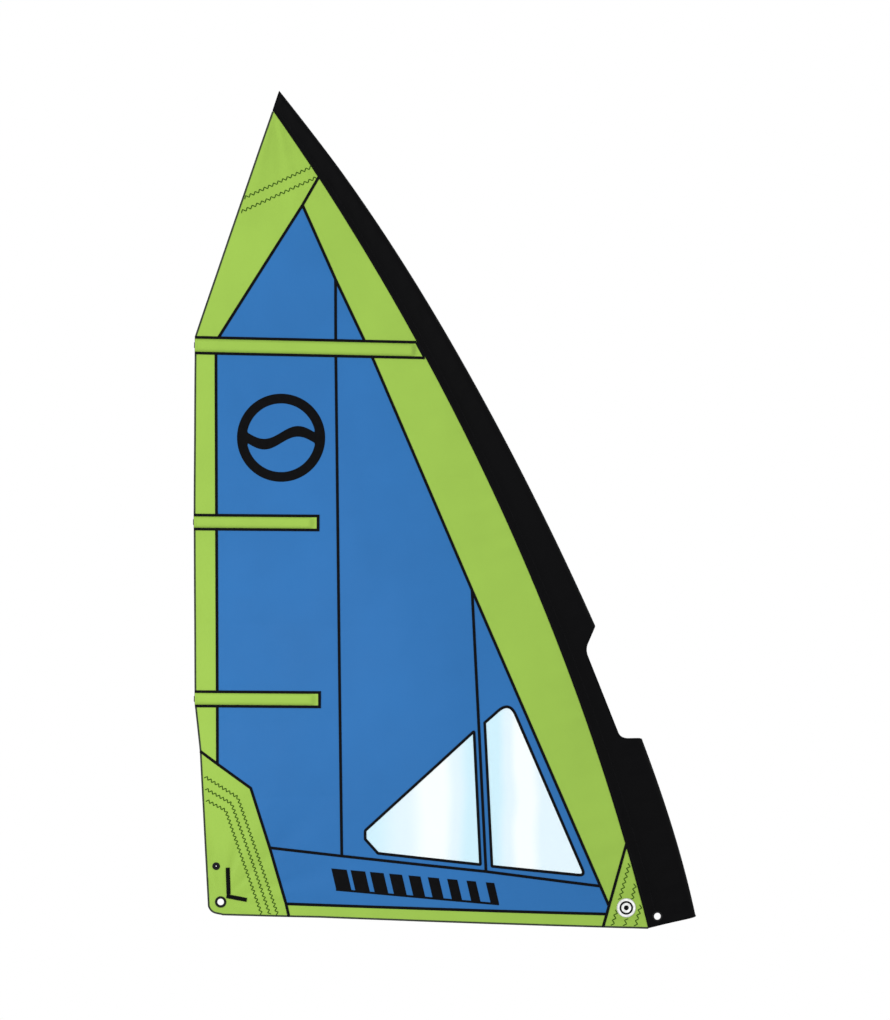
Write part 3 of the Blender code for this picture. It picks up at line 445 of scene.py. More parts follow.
def ribbon_mesh(path, width, off, thick, cols=4, closed=False, res=RES, crown=0.0, lift=None):
    """Vertices, faces and UVs of a tape sewn along a path."""
    p = np.array(split(path, res, closed))
    m = side_of(p, closed)
    ts = np.linspace(-0.5, 0.5, cols)
    run = np.concatenate([[0], np.cumsum(np.linalg.norm(np.diff(p, axis=0), axis=1))])
    lo, hi, uv = [], [], []
    for t in ts:
        q = p + m * (t * width)
        bow = crown * (1 - (2 * t) ** 2)
        y = skin(q[:, 0], q[:, 1], off) + (0 if lift is None else lift(q[:, 0], q[:, 1]))
        near, far = (y - thick / 2 - bow, y + thick / 2) if off <= 0 else (y - thick / 2, y + thick / 2 + bow)
        lo.append(np.stack([q[:, 0], near, q[:, 1]], -1))
        hi.append(np.stack([q[:, 0], far, q[:, 1]], -1))
        uv.append(np.stack([np.full(len(p), t * width), run], -1))
    n, k = len(p), cols
    lo, hi = np.stack(lo, 1).reshape(-1, 3), np.stack(hi, 1).reshape(-1, 3)
    uv = np.stack(uv, 1).reshape(-1, 2)
    faces = []
    total = n * k
    last = n if closed else n - 1
    for i in range(last):
        a, b = i * k, ((i + 1) % n) * k
        for j in range(k - 1):
            faces.append([a + j, a + j + 1, b + j + 1, b + j])
            faces.append([total + a + j, total + b + j, total + b + j + 1, total + a + j + 1])
        faces.append([a, b, total + b, total + a])
        faces.append([a + k - 1, total + a + k - 1, total + b + k - 1, b + k - 1])
    if not closed:
        for a in (0, (n - 1) * k):
            for j in range(k - 1):
                faces.append([a + j, total + a + j, total + a + j + 1, a + j + 1])
    return np.concatenate([lo, hi]), faces, np.concatenate([uv, uv])


def joined(name, parts, mat, smooth=True):
    verts, faces, uvs = [], [], []
    k = 0
    for v, f, uv in parts:
        verts.append(v)
        uvs.append(uv)
        faces += [[i + k for i in q] for q in f]
        k += len(v)
    ob = new_object(name, np.concatenate(verts), faces, np.concatenate(uvs), smooth)
    ob.data.materials.append(mat)
    return ob


def tape(name, path, mat, width=TAPE_W, closed=False, both=True, off=0.0016, thick=0.0008):
    parts = [ribbon_mesh(path, width, -off, thick, closed=closed, crown=0.0003)]
    if both:
        parts.append(ribbon_mesh(path, width, off, thick, closed=closed, crown=0.0003))
    return joined(name, parts, mat)


# ------------------------------------------------------------------ stitches
def even(path, step, closed=False):
    """Points at an even spacing along a path."""
    p = np.array(path + path[:1] if closed else path)
    seg = np.linalg.norm(np.diff(p, axis=0), axis=1)
    run = np.concatenate([[0], np.cumsum(seg)])
    n = max(2, int(round(run[-1] / step)))
    s = np.linspace(0, run[-1], n + 1)
    return np.stack([np.interp(s, run, p[:, 0]), np.interp(s, run, p[:, 1])], -1)


def zigzag(path, pitch, width, steps=1, closed=False):
    """Stroke ends (n, 2, 2) of a zigzag along a path: each leg is sewn in so many steps."""
    p = even(path, pitch / 2, closed)
    m = side_of(p)
    q = p + m * (width / 2 * np.where(np.arange(len(p)) % 2, 1, -1))[:, None]
    a, b = q[:-1], q[1:]
    out = []
    for k in range(steps):
        out.append(np.stack([a + (b - a) * (k / steps), a + (b - a) * ((k + 1) / steps)], 1))
    return np.concatenate(out)


def straight(path, pitch, closed=False, gap=0.22):
    p = even(path, pitch, closed)
    a, b = p[:-1], p[1:]
    return np.stack([a + (b - a) * gap / 2, b - (b - a) * gap / 2], 1)


def thread_mesh(strokes, radius, off, rings=3, lift=None):
    """Each stroke as a short raised length of thread on the cloth; off < 0 is the -Y face."""
    s = np.asarray(strokes)
    fs, n = ([0.0, 0.5, 1.0] if rings == 3 else [0.0, 1.0]), len(s)
    face = -1.0 if off < 0 else 1.0
    mid = s.mean(1)
    normal = skin_normal(mid[:, 0], mid[:, 1]) * (1.0 if off < 0 else -1.0)
    rows = []
    for f in fs:
        q = s[:, 0] + (s[:, 1] - s[:, 0]) * f
        y = skin(q[:, 0], q[:, 1], off) + (0 if lift is None else lift(q[:, 0], q[:, 1]))
        rise = 1.0 if f == 0.5 or rings == 2 else 0.25
        c = np.stack([q[:, 0], y, q[:, 1]], -1) + normal * (radius * (rise - 0.5) * 0.8)
        rows.append((c, radius * (1.0 if f == 0.5 or rings == 2 else 0.7)))
    along = rows[-1][0] - rows[0][0]
    along /= np.maximum(np.linalg.norm(along, axis=1, keepdims=True), 1e-9)
    side = np.cross(along, normal)
    side /= np.maximum(np.linalg.norm(side, axis=1, keepdims=True), 1e-9)
    verts = []
    for c, r in rows:
        verts += [c + side * r, c + normal * r, c - side * r, c - normal * r * 0.6]
    v = np.stack(verts, 1).reshape(-1, 3)
    m = 4 * len(rows)
    base = []
    for i in range(len(rows) - 1):
        a, b = 4 * i, 4 * (i + 1)
        base += [[a + j, a + (j + 1) % 4, b + (j + 1) % 4, b + j] for j in range(4)]
    base += [[3, 2, 1, 0], [m - 4, m - 3, m - 2, m - 1]]
    faces = [[i + m * k for i in q] for k in range(n) for q in base]
    uv = np.zeros((len(v), 2))
    uv[:, 1] = np.arange(len(v)) * 0.001
    return v, faces, uv


# ------------------------------------------------------------------ materials
def material(name):
    m = bpy.data.materials.new(name)
    m.use_nodes = True
    return m, m.node_tree.nodes, m.node_tree.links, m.node_tree.nodes["Principled BSDF"]


def node(nodes, kind, **values):
    n = nodes.new(kind)
    for k, v in values.items():
        if k in n.inputs:
            n.inputs[k].default_value = v
        else:
            setattr(n, k, v)
    return n


def ramp(nodes, stops):
    r = nodes.new("ShaderNodeValToRGB")
    while len(r.color_ramp.elements) < len(stops):
        r.color_ramp.elements.new(0.5)
    for e, (pos, col) in zip(r.color_ramp.elements, stops):
        e.position = pos
        e.color = col if len(col) == 4 else (*col, 1)
    return r


def tint(c, k):
    return tuple(min(max(v * k, 0.0), 1.0) for v in c)


def weave_height(nodes, links, uv, pitch, strength_noise=0.4):
    """Height of a plain weave of this thread pitch, with uneven threads."""
    sep = nodes.new("ShaderNodeSeparateXYZ")
    links.new(uv, sep.inputs[0])
    waves = []
    for axis in ("X", "Y"):
        w = node(nodes, "ShaderNodeTexWave", Scale=2 * math.pi / (20 * pitch), Distortion=0.35, Detail=1.0)
        w.wave_type = "BANDS"
        w.bands_direction = axis
        links.new(uv, w.inputs["Vector"])
        waves.append(w)
    mul = node(nodes, "ShaderNodeMath", operation="MULTIPLY")
    links.new(waves[0].outputs["Fac"], mul.inputs[0])
    links.new(waves[1].outputs["Fac"], mul.inputs[1])
    return mul.outputs[0]


def cloth_material(name, rgb, rough=0.5, pitch=0.0011, weave=0.5, mottle=0.045, spec=0.12, sheen=0.03, crinkle=0.35, dirt=0.0):
    m, nodes, links, bsdf = material(name)
    coord = nodes.new("ShaderNodeTexCoord")
    uv = coord.outputs["UV"]
    # colour: slow mottling of the dye and a fine thread-to-thread change
    slow = node(nodes, "ShaderNodeTexNoise", Scale=2.4, Detail=4.0, Roughness=0.55)
    fine = node(nodes, "ShaderNodeTexNoise", Scale=260.0, Detail=2.0, Roughness=0.6)
    links.new(coord.outputs["Object"], slow.inputs["Vector"])
    links.new(uv, fine.inputs["Vector"])
    mix = node(nodes, "ShaderNodeMath", operation="MULTIPLY_ADD")
    mix.inputs[1].default_value = 0.30
    links.new(fine.outputs["Fac"], mix.inputs[0])
    links.new(slow.outputs["Fac"], mix.inputs[2])
    cr = ramp(nodes, [(0.42, tint(rgb, 1 - mottle)), (0.65, rgb), (0.92, tint(rgb, 1 + mottle))])
    links.new(mix.outputs[0], cr.inputs["Fac"])
    colour = cr.outputs["Color"]
    if dirt:
        sep = nodes.new("ShaderNodeSeparateXYZ")
        links.new(coord.outputs["Object"], sep.inputs[0])
        grime = node(nodes, "ShaderNodeTexNoise", Scale=14.0, Detail=5.0, Roughness=0.7)
        links.new(coord.outputs["Object"], grime.inputs["Vector"])
        low = node(nodes, "ShaderNodeMapRange")
        low.inputs["From Min"].default_value = 0.30
        low.inputs["From Max"].default_value = -0.04
        links.new(sep.outputs["Z"], low.inputs["Value"])
        amount = node(nodes, "ShaderNodeMath", operation="MULTIPLY")
        links.new(low.outputs["Result"], amount.inputs[0])
        links.new(grime.outputs["Fac"], amount.inputs[1])
        scaled = node(nodes, "ShaderNodeMath", operation="MULTIPLY")
        scaled.inputs[1].default_value = dirt
        links.new(amount.outputs[0], scaled.inputs[0])
        over = nodes.new("ShaderNodeMix")
        over.data_type = "RGBA"
        over.inputs[7].default_value = (*tint(rgb, 0.55), 1)
        links.new(scaled.outputs[0], over.inputs[0])
        links.new(colour, over.inputs[6])
        colour = over.outputs[2]
    links.new(colour, bsdf.inputs["Base Color"])
    # roughness follows the resin finish
    rr = node(nodes, "ShaderNodeMapRange")
    rr.inputs["From Min"].default_value = 0.3
    rr.inputs["From Max"].default_value = 0.8
    rr.inputs["To Min"].default_value = rough - 0.06
    rr.inputs["To Max"].default_value = rough + 0.08
    links.new(slow.outputs["Fac"], rr.inputs["Value"])
    links.new(rr.outputs["Result"], bsdf.inputs["Roughness"])
    # bump: weave, then the crinkle of a stiff resin-finished cloth
    h = weave_height(nodes, links, uv, pitch)
    b1 = node(nodes, "ShaderNodeBump", Strength=weave, Distance=0.0003)
    links.new(h, b1.inputs["Height"])
    cn = node(nodes, "ShaderNodeTexNoise", Scale=38.0, Detail=6.0, Roughness=0.62)
    links.new(coord.outputs["Object"], cn.inputs["Vector"])
    b2 = node(nodes, "ShaderNodeBump", Strength=crinkle, Distance=0.0024)
    links.new(cn.outputs["Fac"], b2.inputs["Height"])
    links.new(b1.outputs["Normal"], b2.inputs["Normal"])
    # sharp-edged crumple left by rolling and folding
    rn = node(nodes, "ShaderNodeTexNoise", Scale=6.5, Detail=3.0, Roughness=0.5)
    rn.noise_type = "RIDGED_MULTIFRACTAL"
    links.new(coord.outputs["Object"], rn.inputs["Vector"])
    b3 = node(nodes, "ShaderNodeBump", Strength=0.5, Distance=0.0022)
    links.new(rn.outputs["Fac"], b3.inputs["Height"])
    links.new(b2.outputs["Normal"], b3.inputs["Normal"])
    links.new(b3.outputs["Normal"], bsdf.inputs["Normal"])
    bsdf.inputs["Specular IOR Level"].default_value = spec
    bsdf.inputs["Sheen Weight"].default_value = sheen
    bsdf.inputs["Sheen Roughness"].default_value = 0.5
    bsdf.inputs["Sheen Tint"].default_value = (*tint(rgb, 1.0), 1)
    return m


def tape_material(name, rgb, rough=0.6, pitch=0.0016, spec=0.05, bump=0.6):
    m, nodes, links, bsdf = material(name)
    coord = nodes.new("ShaderNodeTexCoord")
    n = node(nodes, "ShaderNodeTexNoise", Scale=60.0, Detail=3.0)
    links.new(coord.outputs["Object"], n.inputs["Vector"])
    cr = ramp(nodes, [(0.35, tint(rgb, 0.8)), (0.7, tint(rgb, 1.25))])
    links.new(n.outputs["Fac"], cr.inputs["Fac"])
    links.new(cr.outputs["Color"], bsdf.inputs["Base Color"])
    h = weave_height(nodes, links, coord.outputs["UV"], pitch)
    b = node(nodes, "ShaderNodeBump", Strength=bump, Distance=0.00025)
    links.new(h, b.inputs["Height"])
    links.new(b.outputs["Normal"], bsdf.inputs["Normal"])
    rr = node(nodes, "ShaderNodeMapRange")
    rr.inputs["To Min"].default_value = rough - 0.08
    rr.inputs["To Max"].default_value = rough + 0.08
    links.new(n.outputs["Fac"], rr.inputs["Value"])
    links.new(rr.outputs["Result"], bsdf.inputs["Roughness"])
    bsdf.inputs["Specular IOR Level"].default_value = spec
    return m


def thread_material(name, rgb):
    m, nodes, links, bsdf = material(name)
    coord = nodes.new("ShaderNodeTexCoord")
    w = node(nodes, "ShaderNodeTexNoise", Scale=700.0, Detail=2.0)
    links.new(coord.outputs["Object"], w.inputs["Vector"])
    cr = ramp(nodes, [(0.3, tint(rgb, 0.75)), (0.7, tint(rgb, 1.2))])
    links.new(w.outputs["Fac"], cr.inputs["Fac"])
    links.new(cr.outputs["Color"], bsdf.inputs["Base Color"])
    b = node(nodes, "ShaderNodeBump", Strength=0.5, Distance=0.0002)
    links.new(w.outputs["Fac"], b.inputs["Height"])
    links.new(b.outputs["Normal"], bsdf.inputs["Normal"])
    bsdf.inputs["Roughness"].default_value = 0.6
    bsdf.inputs["Specular IOR Level"].default_value = 0.08
    return m


def metal_material(name, rgb, rough=0.35, metallic=0.85):
    m, nodes, links, bsdf = material(name)
    coord = nodes.new("ShaderNodeTexCoord")
    n = node(nodes, "ShaderNodeTexNoise", Scale=180.0, Detail=4.0, Roughness=0.7)
    links.new(coord.outputs["Object"], n.inputs["Vector"])
    cr = ramp(nodes, [(0.40, tint(rgb, 0.85)), (0.62, rgb), (0.80, tint(rgb, 1.8))])
    links.new(n.outputs["Fac"], cr.inputs["Fac"])
    links.new(cr.outputs["Color"], bsdf.inputs["Base Color"])
    rr = node(nodes, "ShaderNodeMapRange")
    rr.inputs["To Min"].default_value = rough - 0.08
    rr.inputs["To Max"].default_value = rough + 0.12
    links.new(n.outputs["Fac"], rr.inputs["Value"])
    links.new(rr.outputs["Result"], bsdf.inputs["Roughness"])
    b = node(nodes, "ShaderNodeBump", Strength=0.15, Distance=0.0002)
    links.new(n.outputs["Fac"], b.inputs["Height"])
    links.new(b.outputs["Normal"], bsdf.inputs["Normal"])
    bsdf.inputs["Metallic"].default_value = metallic
    bsdf.inputs["Specular IOR Level"].default_value = 0.25
    return m


def plastic_material(name, rgb, rough=0.45):
    m, nodes, links, bsdf = material(name)
    coord = nodes.new("ShaderNodeTexCoord")
    n = node(nodes, "ShaderNodeTexNoise", Scale=900.0, Detail=3.0)
    links.new(coord.outputs["Object"], n.inputs["Vector"])
    s = node(nodes, "ShaderNodeTexNoise", Scale=30.0, Detail=4.0)
    links.new(coord.outputs["Object"], s.inputs["Vector"])
    cr = ramp(nodes, [(0.35, tint(rgb, 0.85)), (0.7, tint(rgb, 1.3))])
    links.new(s.outputs["Fac"], cr.inputs["Fac"])
    links.new(cr.outputs["Color"], bsdf.inputs["Base Color"])
    b = node(nodes, "ShaderNodeBump", Strength=0.25, Distance=0.0002)
    links.new(n.outputs["Fac"], b.inputs["Height"])
    links.new(b.outputs["Normal"], bsdf.inputs["Normal"])
    rr = node(nodes, "ShaderNodeMapRange")
    rr.inputs["To Min"].default_value = rough - 0.08
    rr.inputs["To Max"].default_value = rough + 0.1
    links.new(s.outputs["Fac"], rr.inputs["Value"])
    links.new(rr.outputs["Result"], bsdf.inputs["Roughness"])
    return m


def fibre_material(name, rgb):
    m, nodes, links, bsdf = material(name)
    coord = nodes.new("ShaderNodeTexCoord")
    mapping = node(nodes, "ShaderNodeMapping")
    mapping.inputs["Scale"].default_value = (8.0, 900.0, 900.0)
    links.new(coord.outputs["Object"], mapping.inputs["Vector"])
    n = node(nodes, "ShaderNodeTexNoise", Scale=1.0, Detail=4.0)
    links.new(mapping.outputs["Vector"], n.inputs["Vector"])
    cr = ramp(nodes, [(0.35, tint(rgb, 0.75)), (0.5, rgb), (0.7, tint(rgb, 1.15))])
    links.new(n.outputs["Fac"], cr.inputs["Fac"])
    links.new(cr.outputs["Color"], bsdf.inputs["Base Color"])
    b = node(nodes, "ShaderNodeBump", Strength=0.3, Distance=0.0002)
    links.new(n.outputs["Fac"], b.inputs["Height"])
    links.new(b.outputs["Normal"], bsdf.inputs["Normal"])
    bsdf.inputs["Roughness"].default_value = 0.32
    bsdf.inputs["Coat Weight"].default_value = 0.3
    return m


def film_material(name):
    m, nodes, links, bsdf = material(name)
    coord = nodes.new("ShaderNodeTexCoord")
    # painted reflection: broad soft upright bands of deeper and clearer tint, painted into the film's colour where its
    # curve would catch the sky differently
    wob = node(nodes, "ShaderNodeTexNoise", Scale=2.6, Detail=1.0)
    links.new(coord.outputs["Object"], wob.inputs["Vector"])
    sep = nodes.new("ShaderNodeSeparateXYZ")
    links.new(coord.outputs["Object"], sep.inputs[0])
    shift = node(nodes, "ShaderNodeMath", operation="MULTIPLY_ADD")
    shift.inputs[1].default_value = 0.09
    links.new(wob.outputs["Fac"], shift.inputs[0])
    links.new(sep.outputs["X"], shift.inputs[2])
    n = node(nodes, "ShaderNodeMapRange")
    n.inputs["From Min"].default_value = -1.56 + 0.045
    n.inputs["From Max"].default_value = -0.46 + 0.045
    links.new(shift.outputs[0], n.inputs["Value"])
    # tints of the painted reflection bands, from deep through pale to clear
    deep, pale, clear = (0.585, 0.855, 0.970), (0.745, 0.905, 0.985), (0.925, 1.0, 1.0)
    cr = ramp(nodes, [(0.05, deep), (0.20, pale), (0.30, clear), (0.37, clear), (0.43, pale), (0.49, deep), (0.555, deep),
                      (0.60, deep), (0.655, pale), (0.70, clear), (0.745, clear), (0.80, pale), (0.93, pale)])
    cr.color_ramp.interpolation = "EASE"
    links.new(n.outputs["Result"], cr.inputs["Fac"])
    links.new(cr.outputs["Color"], bsdf.inputs["Base Color"])
    w = node(nodes, "ShaderNodeTexNoise", Scale=6.0, Detail=3.0)
    links.new(coord.outputs["Object"], w.inputs["Vector"])
    b = node(nodes, "ShaderNodeBump", Strength=0.25, Distance=0.004)
    links.new(w.outputs["Fac"], b.inputs["Height"])
    links.new(b.outputs["Normal"], bsdf.inputs["Normal"])
    rr = node(nodes, "ShaderNodeMapRange")
    rr.inputs["To Min"].default_value = 0.04
    rr.inputs["To Max"].default_value = 0.16
    links.new(w.outputs["Fac"], rr.inputs["Value"])
    links.new(rr.outputs["Result"], bsdf.inputs["Roughness"])
    bsdf.inputs["IOR"].default_value = 1.45
    bsdf.inputs["Transmission Weight"].default_value = 0.90
    bsdf.inputs["Alpha"].default_value = 0.85
    return m


BLUE = (0.0185, 0.1170, 0.322)
GREEN = (0.240, 0.391, 0.0550)
BLACK = (0.0016, 0.0016, 0.0019)
M = {
    "blue": cloth_material("blue_sailcloth", BLUE, dirt=0.12),
    "green": cloth_material("green_sailcloth", GREEN, dirt=0.10),
    "sleeve": cloth_material("black_sleeve_cloth", BLACK, rough=0.72, pitch=0.0018, weave=0.7, mottle=0.3, spec=0.05, sheen=0.0, crinkle=0.45),
    "tape": tape_material("black_seam_tape", (0.0016, 0.0017, 0.0024)),
    "vinyl": tape_material("black_insignia_cloth", (0.0016, 0.0016, 0.0020), rough=0.5, bump=0.3),
    "hem": tape_material("grey_edge_tape", (0.030, 0.036, 0.026)),
    "webbing": tape_material("black_webbing", (0.0022, 0.0022, 0.0025), rough=0.75, pitch=0.0024, bump=1.0),
    "thread_green": thread_material("green_thread", (0.022, 0.072, 0.002)),
    "thread_black": thread_material("black_thread", (0.006, 0.006, 0.007)),
    "thread_white": thread_material("white_thread", (0.55, 0.55, 0.52)),
    "metal": metal_material("black_anodised_metal", (0.006, 0.006, 0.0065), metallic=0.55),
    "plastic": plastic_material("black_plastic", (0.010, 0.010, 0.011)),
    "fibre": fibre_material("glass_fibre", (0.42, 0.40, 0.27)),
    "film": film_material("window_film"),
    "badge": tape_material("white_badge_cloth", (0.66, 0.67, 0.66), pitch=0.0010, bump=0.5),
}


def give(ob, slot, *nodes):
    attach(ob, "sail")
    if nodes:
        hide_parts(*nodes)
    return ob


# ------------------------------------------------------------------ panels
TOP_A, TOP_B = POCKETS["top"][:2]
lt = crossing(LUFF_SEAM[1], LUFF_SEAM[2], TOP_A, TOP_B)
vt = crossing(AFT_VERTICAL[0], AFT_VERTICAL[1], TOP_A, TOP_B)
ht = crossing(HEAD_SEAM[1], HEAD_SEAM[2], TOP_A, TOP_B)
kt = (LEECH_SEAM[0][0], pocket_z(LEECH_SEAM[0][0]))
z_luff = pocket_z(seam_x(2.65))
z_leech = TOP_A[1]
low_luff = crossing(LUFF_SEAM[3], LUFF_SEAM[4], *TACK_SEAM)
strip_fore = crossing(*STRIP_SEAM, *TACK_SEAM)

clew_holes = [circle(CLEW_EYE[0], CLEW_EYE[1] + BARREL_WALL + 0.0002), circle(OUTHAUL_EYE[0], OUTHAUL_EYE[1] + BARREL_WALL + 0.0002, 24)]
PANELS = {
    "head_patch": ("green", sleeve_edge(3.748, HEAD_SEAM[0][1]) + HEAD_SEAM[:2] + [ht] + leech_edge(z_leech, LEECH[0][1] - 0.004) + [(LEECH[0][0] + 0.007, LEECH[0][1] - 0.001)], (), 20),
    "luff_panel_upper": ("green", [HEAD_SEAM[0]] + sleeve_edge(HEAD_SEAM[0][1], z_luff) + [lt] + LUFF_SEAM[1::-1], (), 24),
    "upper_panel_aft": ("blue", [LUFF_SEAM[0], LUFF_SEAM[1], vt, ht], (), 0),
    "upper_panel_fore": ("blue", [LUFF_SEAM[1], lt, vt], (), 0),
    "luff_panel_lower": ("green", [lt] + sleeve_edge(z_luff, TACK_SEAM[0][1]) + [TACK_SEAM[0], low_luff] + LUFF_SEAM[:1:-1], (), 23),
    "leech_panel": ("green", leech_edge(z_leech, CLEW_SEAM[0][1]) + [CLEW_SEAM[1], kt], (), 0),
    "body_panel_aft": ("blue", [kt, vt, AFT_VERTICAL[2], CLEW_SEAM[3], CLEW_SEAM[2], CLEW_SEAM[1]], (), 0),
    "body_panel_middle": ("blue", [vt, lt, LUFF_SEAM[2], LUFF_SEAM[3], FORE_VERTICAL[1], AFT_VERTICAL[2]], (HOLE_AFT,), 1),
    "body_panel_fore": ("blue", [LUFF_SEAM[3], LUFF_SEAM[4], FORE_VERTICAL[1]], (HOLE_FORE,), 3),
    "foot_panel": ("blue", FOOT_SEAM + [low_luff, strip_fore, STRIP_SEAM[0]], (), 4),
    "foot_strip": ("green", [STRIP_SEAM[0], strip_fore, TACK_SEAM[1]] + FOOT[2:0:-1], (), 2),
    "clew_patch": ("green", CLEW_SEAM + [FOOT[0]] + CLEW_ROUND[::-1] + leech_edge(0.070, CLEW_SEAM[0][1])[:-1], clew_holes, 40),
    "tack_patch": ("green", [TACK_SEAM[0], TACK_SEAM[1], FOOT[4], (FOOT[4][0] + TONGUE, FOOT[4][1] + 0.007)] + sleeve_edge(-0.030, TACK_SEAM[0][1]), (), 15),
}
pieces = {}
for name, (colour, outline, holes, grain) in PANELS.items():
    ob = cloth(f"cloth_{name}", outline, M[colour], thick=CLOTH, holes=holes, grain=grain)
    give(ob, f"{colour}_cloth", name)
    pieces[name] = ob
    xs, zs = [p[0] for p in outline], [p[1] for p in outline]
    pieces[name + "_flat"] = (max(xs) - min(xs), max(zs) - min(zs), abs(area(outline)) - sum(abs(area(list(h))) for h in holes))

# ------------------------------------------------------------------ windows
for side, hole in (("aft", HOLE_AFT), ("fore", HOLE_FORE)):
    film = cloth(f"film_window_{side}", grow(hole, 0.010), M["film"], off=FILM_OFF, thick=0.0006, res=RES * 1.2)
    give(film, "window_film", f"window_{side}")
    pieces[f"window_{side}"] = film
    xs, zs = [p[0] for p in hole], [p[1] for p in hole]
    pieces[f"window_{side}_flat"] = (max(xs) - min(xs) + 0.02, max(zs) - min(zs) + 0.02, abs(area(grow(hole, 0.010))))
    border = joined(f"tape_window_{side}", [ribbon_mesh(hole, TAPE_W, -0.0016, 0.0008, closed=True, crown=0.0003),
                                            ribbon_mesh(ccw(grow(hole, 0.0070)), TAPE_W + 0.014, FILM_OFF + 0.0010, 0.0008, closed=True, crown=0.0003)], M["tape"])
    give(border, "black_tape", f"window_tape_{side}")
    pieces[f"window_tape_{side}"] = border


# ------------------------------------------------------------------ pockets
def pocket_frame(key):
    (x0, z0), (x1, z1), half = POCKETS[key]
    axis = Vector((x1 - x0, z1 - z0))
    full = axis.length
    axis.normalize()
    return Vector((x0, z0)), axis, Vector((-axis.y, axis.x)), full, half


def pocket_bulge(key):
    """Height of the pocket over its batten, as deep as the batten's end cap and the cloth's own curve need."""
    (x0, z0), (x1, z1), half = POCKETS[key]
    f = np.linspace(0, 1, 25)
    x, z = x0 + (x1 - x0) * f, z0 + (z1 - z0) * f
    ya, yb = float(cloth_y(x0, z0)), float(cloth_y(x1, z1))
    dev = np.concatenate([cloth_y(x, z + o) - (ya + (yb - ya) * f) for o in (-0.014, 0.0, 0.014)])
    return (dev.max() - dev.min() + 0.0052 + 0.0018) / 0.80


def pocket_lift(key):
    origin, axis, side, full, half = pocket_frame(key)
    flat = half - 0.007
    bulge = pocket_bulge(key)

    def lift(x, z):
        s = (x - origin.x) * axis.x + (z - origin.y) * axis.y
        t = (x - origin.x) * side.x + (z - origin.y) * side.y
        k = np.minimum(np.abs(t) / flat, 1.0)
        e = sm((full - 0.014 - s) / 0.030)
        # the cloth is pulled tight over the batten's edges and sags a little between stitches
        wave = 1 + 0.025 * np.sin(2 * math.pi * s / 0.083 + 1.0) * k
        return -bulge * (1 - k**4) * e * wave

    return lift


def pocket_cloth(name, key, corners, lift):
    origin, axis, side, full, half = pocket_frame(key)
    flat = half - 0.007
    t = np.concatenate([[-half, -half + 0.0035], flat * np.sin(np.linspace(-np.pi / 2, np.pi / 2, 25)), [half - 0.0035, half]])
    low, high = [(Vector(q) - origin).dot(axis) for q in (corners[1], corners[2])]
    end = low + (high - low) * (t + half) / (2 * half)
    rows = max(8, int(full / (RES * 0.55)))
    f = np.linspace(0, 1, rows + 1)
    s_ = f[:, None] * end[None, :]
    t_ = np.broadcast_to(t, s_.shape)
    x = origin.x + axis.x * s_ + side.x * t_
    z = origin.y + axis.y * s_ + side.y * t_
    x, z = x.ravel(), z.ravel()
    y = skin(x, z, -0.0017) + lift(x, z)
    n, k = s_.shape
    quads = []
    for i in range(n - 1):
        for j in range(k - 1):
            a0 = i * k + j
            quads += [[a0, a0 + k, a0 + k + 1], [a0, a0 + k + 1, a0 + 1]]
    tri = np.array(quads)
    uv = np.stack([x, z], -1)
    ob = closed_sheet(name, np.stack([x, y - 0.0004, z], -1), np.stack([x, y + 0.0004, z], -1), tri, uv)
    ob.data.materials.append(M["green"])
    return ob


for key in POCKETS:
    origin, axis, side, full, half = pocket_frame(key)

    def place(s, t):
        q = origin + axis * s + side * t
        return (q.x, q.y)

    corners = [place(0.0, -half), place(full, -half), place(full, half), place(0.0, half)]
    if key == "top":
        corners[1:3] = [(seam_x(z) - 0.004, z) for _, z in corners[1:3]]
    ends = [corners[1], corners[2]]
    lift = pocket_lift(key)
    ob = pocket_cloth(f"cloth_{key}_pocket", key, corners, lift)
    give(ob, "green_cloth", f"{key}_batten_pocket")
    pieces[f"{key}_pocket"] = ob
    # dark edge tape on both long sides and the closed end, and a green hem across the mouth's lip on the -Y face
    w = 0.0128
    long_top = [place(0.0, half), corners[2] if key == "top" else place(full + w / 2, half)]
    long_low = [place(0.0, -half), corners[1] if key == "top" else place(full + w / 2, -half)]
    edge = [ribbon_mesh(p, w, -0.0019, 0.0020, crown=0.0003) for p in (long_top, long_low)]
    edge.append(ribbon_mesh(trim(ends, w / 2, 0.0015 if key == "top" else w / 2), w, -0.0019, 0.0020, crown=0.0003))
    mouth = [place(0.005, -half + w / 2), place(0.005, half - w / 2)]
    lip = joined(f"hem_{key}_pocket_mouth", [ribbon_mesh(mouth, 0.0090, -0.0024, 0.0008, res=0.004, crown=0.0002, lift=lift)], M["green"])
    give(lip, "green_cloth")
    ob = joined(f"tape_{key}_pocket", edge, M["tape"])
    give(ob, "black_tape")
    pieces[f"{key}_pocket_tape"] = ob

# ------------------------------------------------------------------ seam tapes
k = TAPE_W / 2 + 0.0006


def pocket_edge(a, b, sign, key="top", clear=0.0005):
    (px0, pz0), (px1, pz1), half = POCKETS[key]
    o = sign * (half + clear)
    return crossing(a, b, (px0, pz0 + o), (px1, pz1 + o))


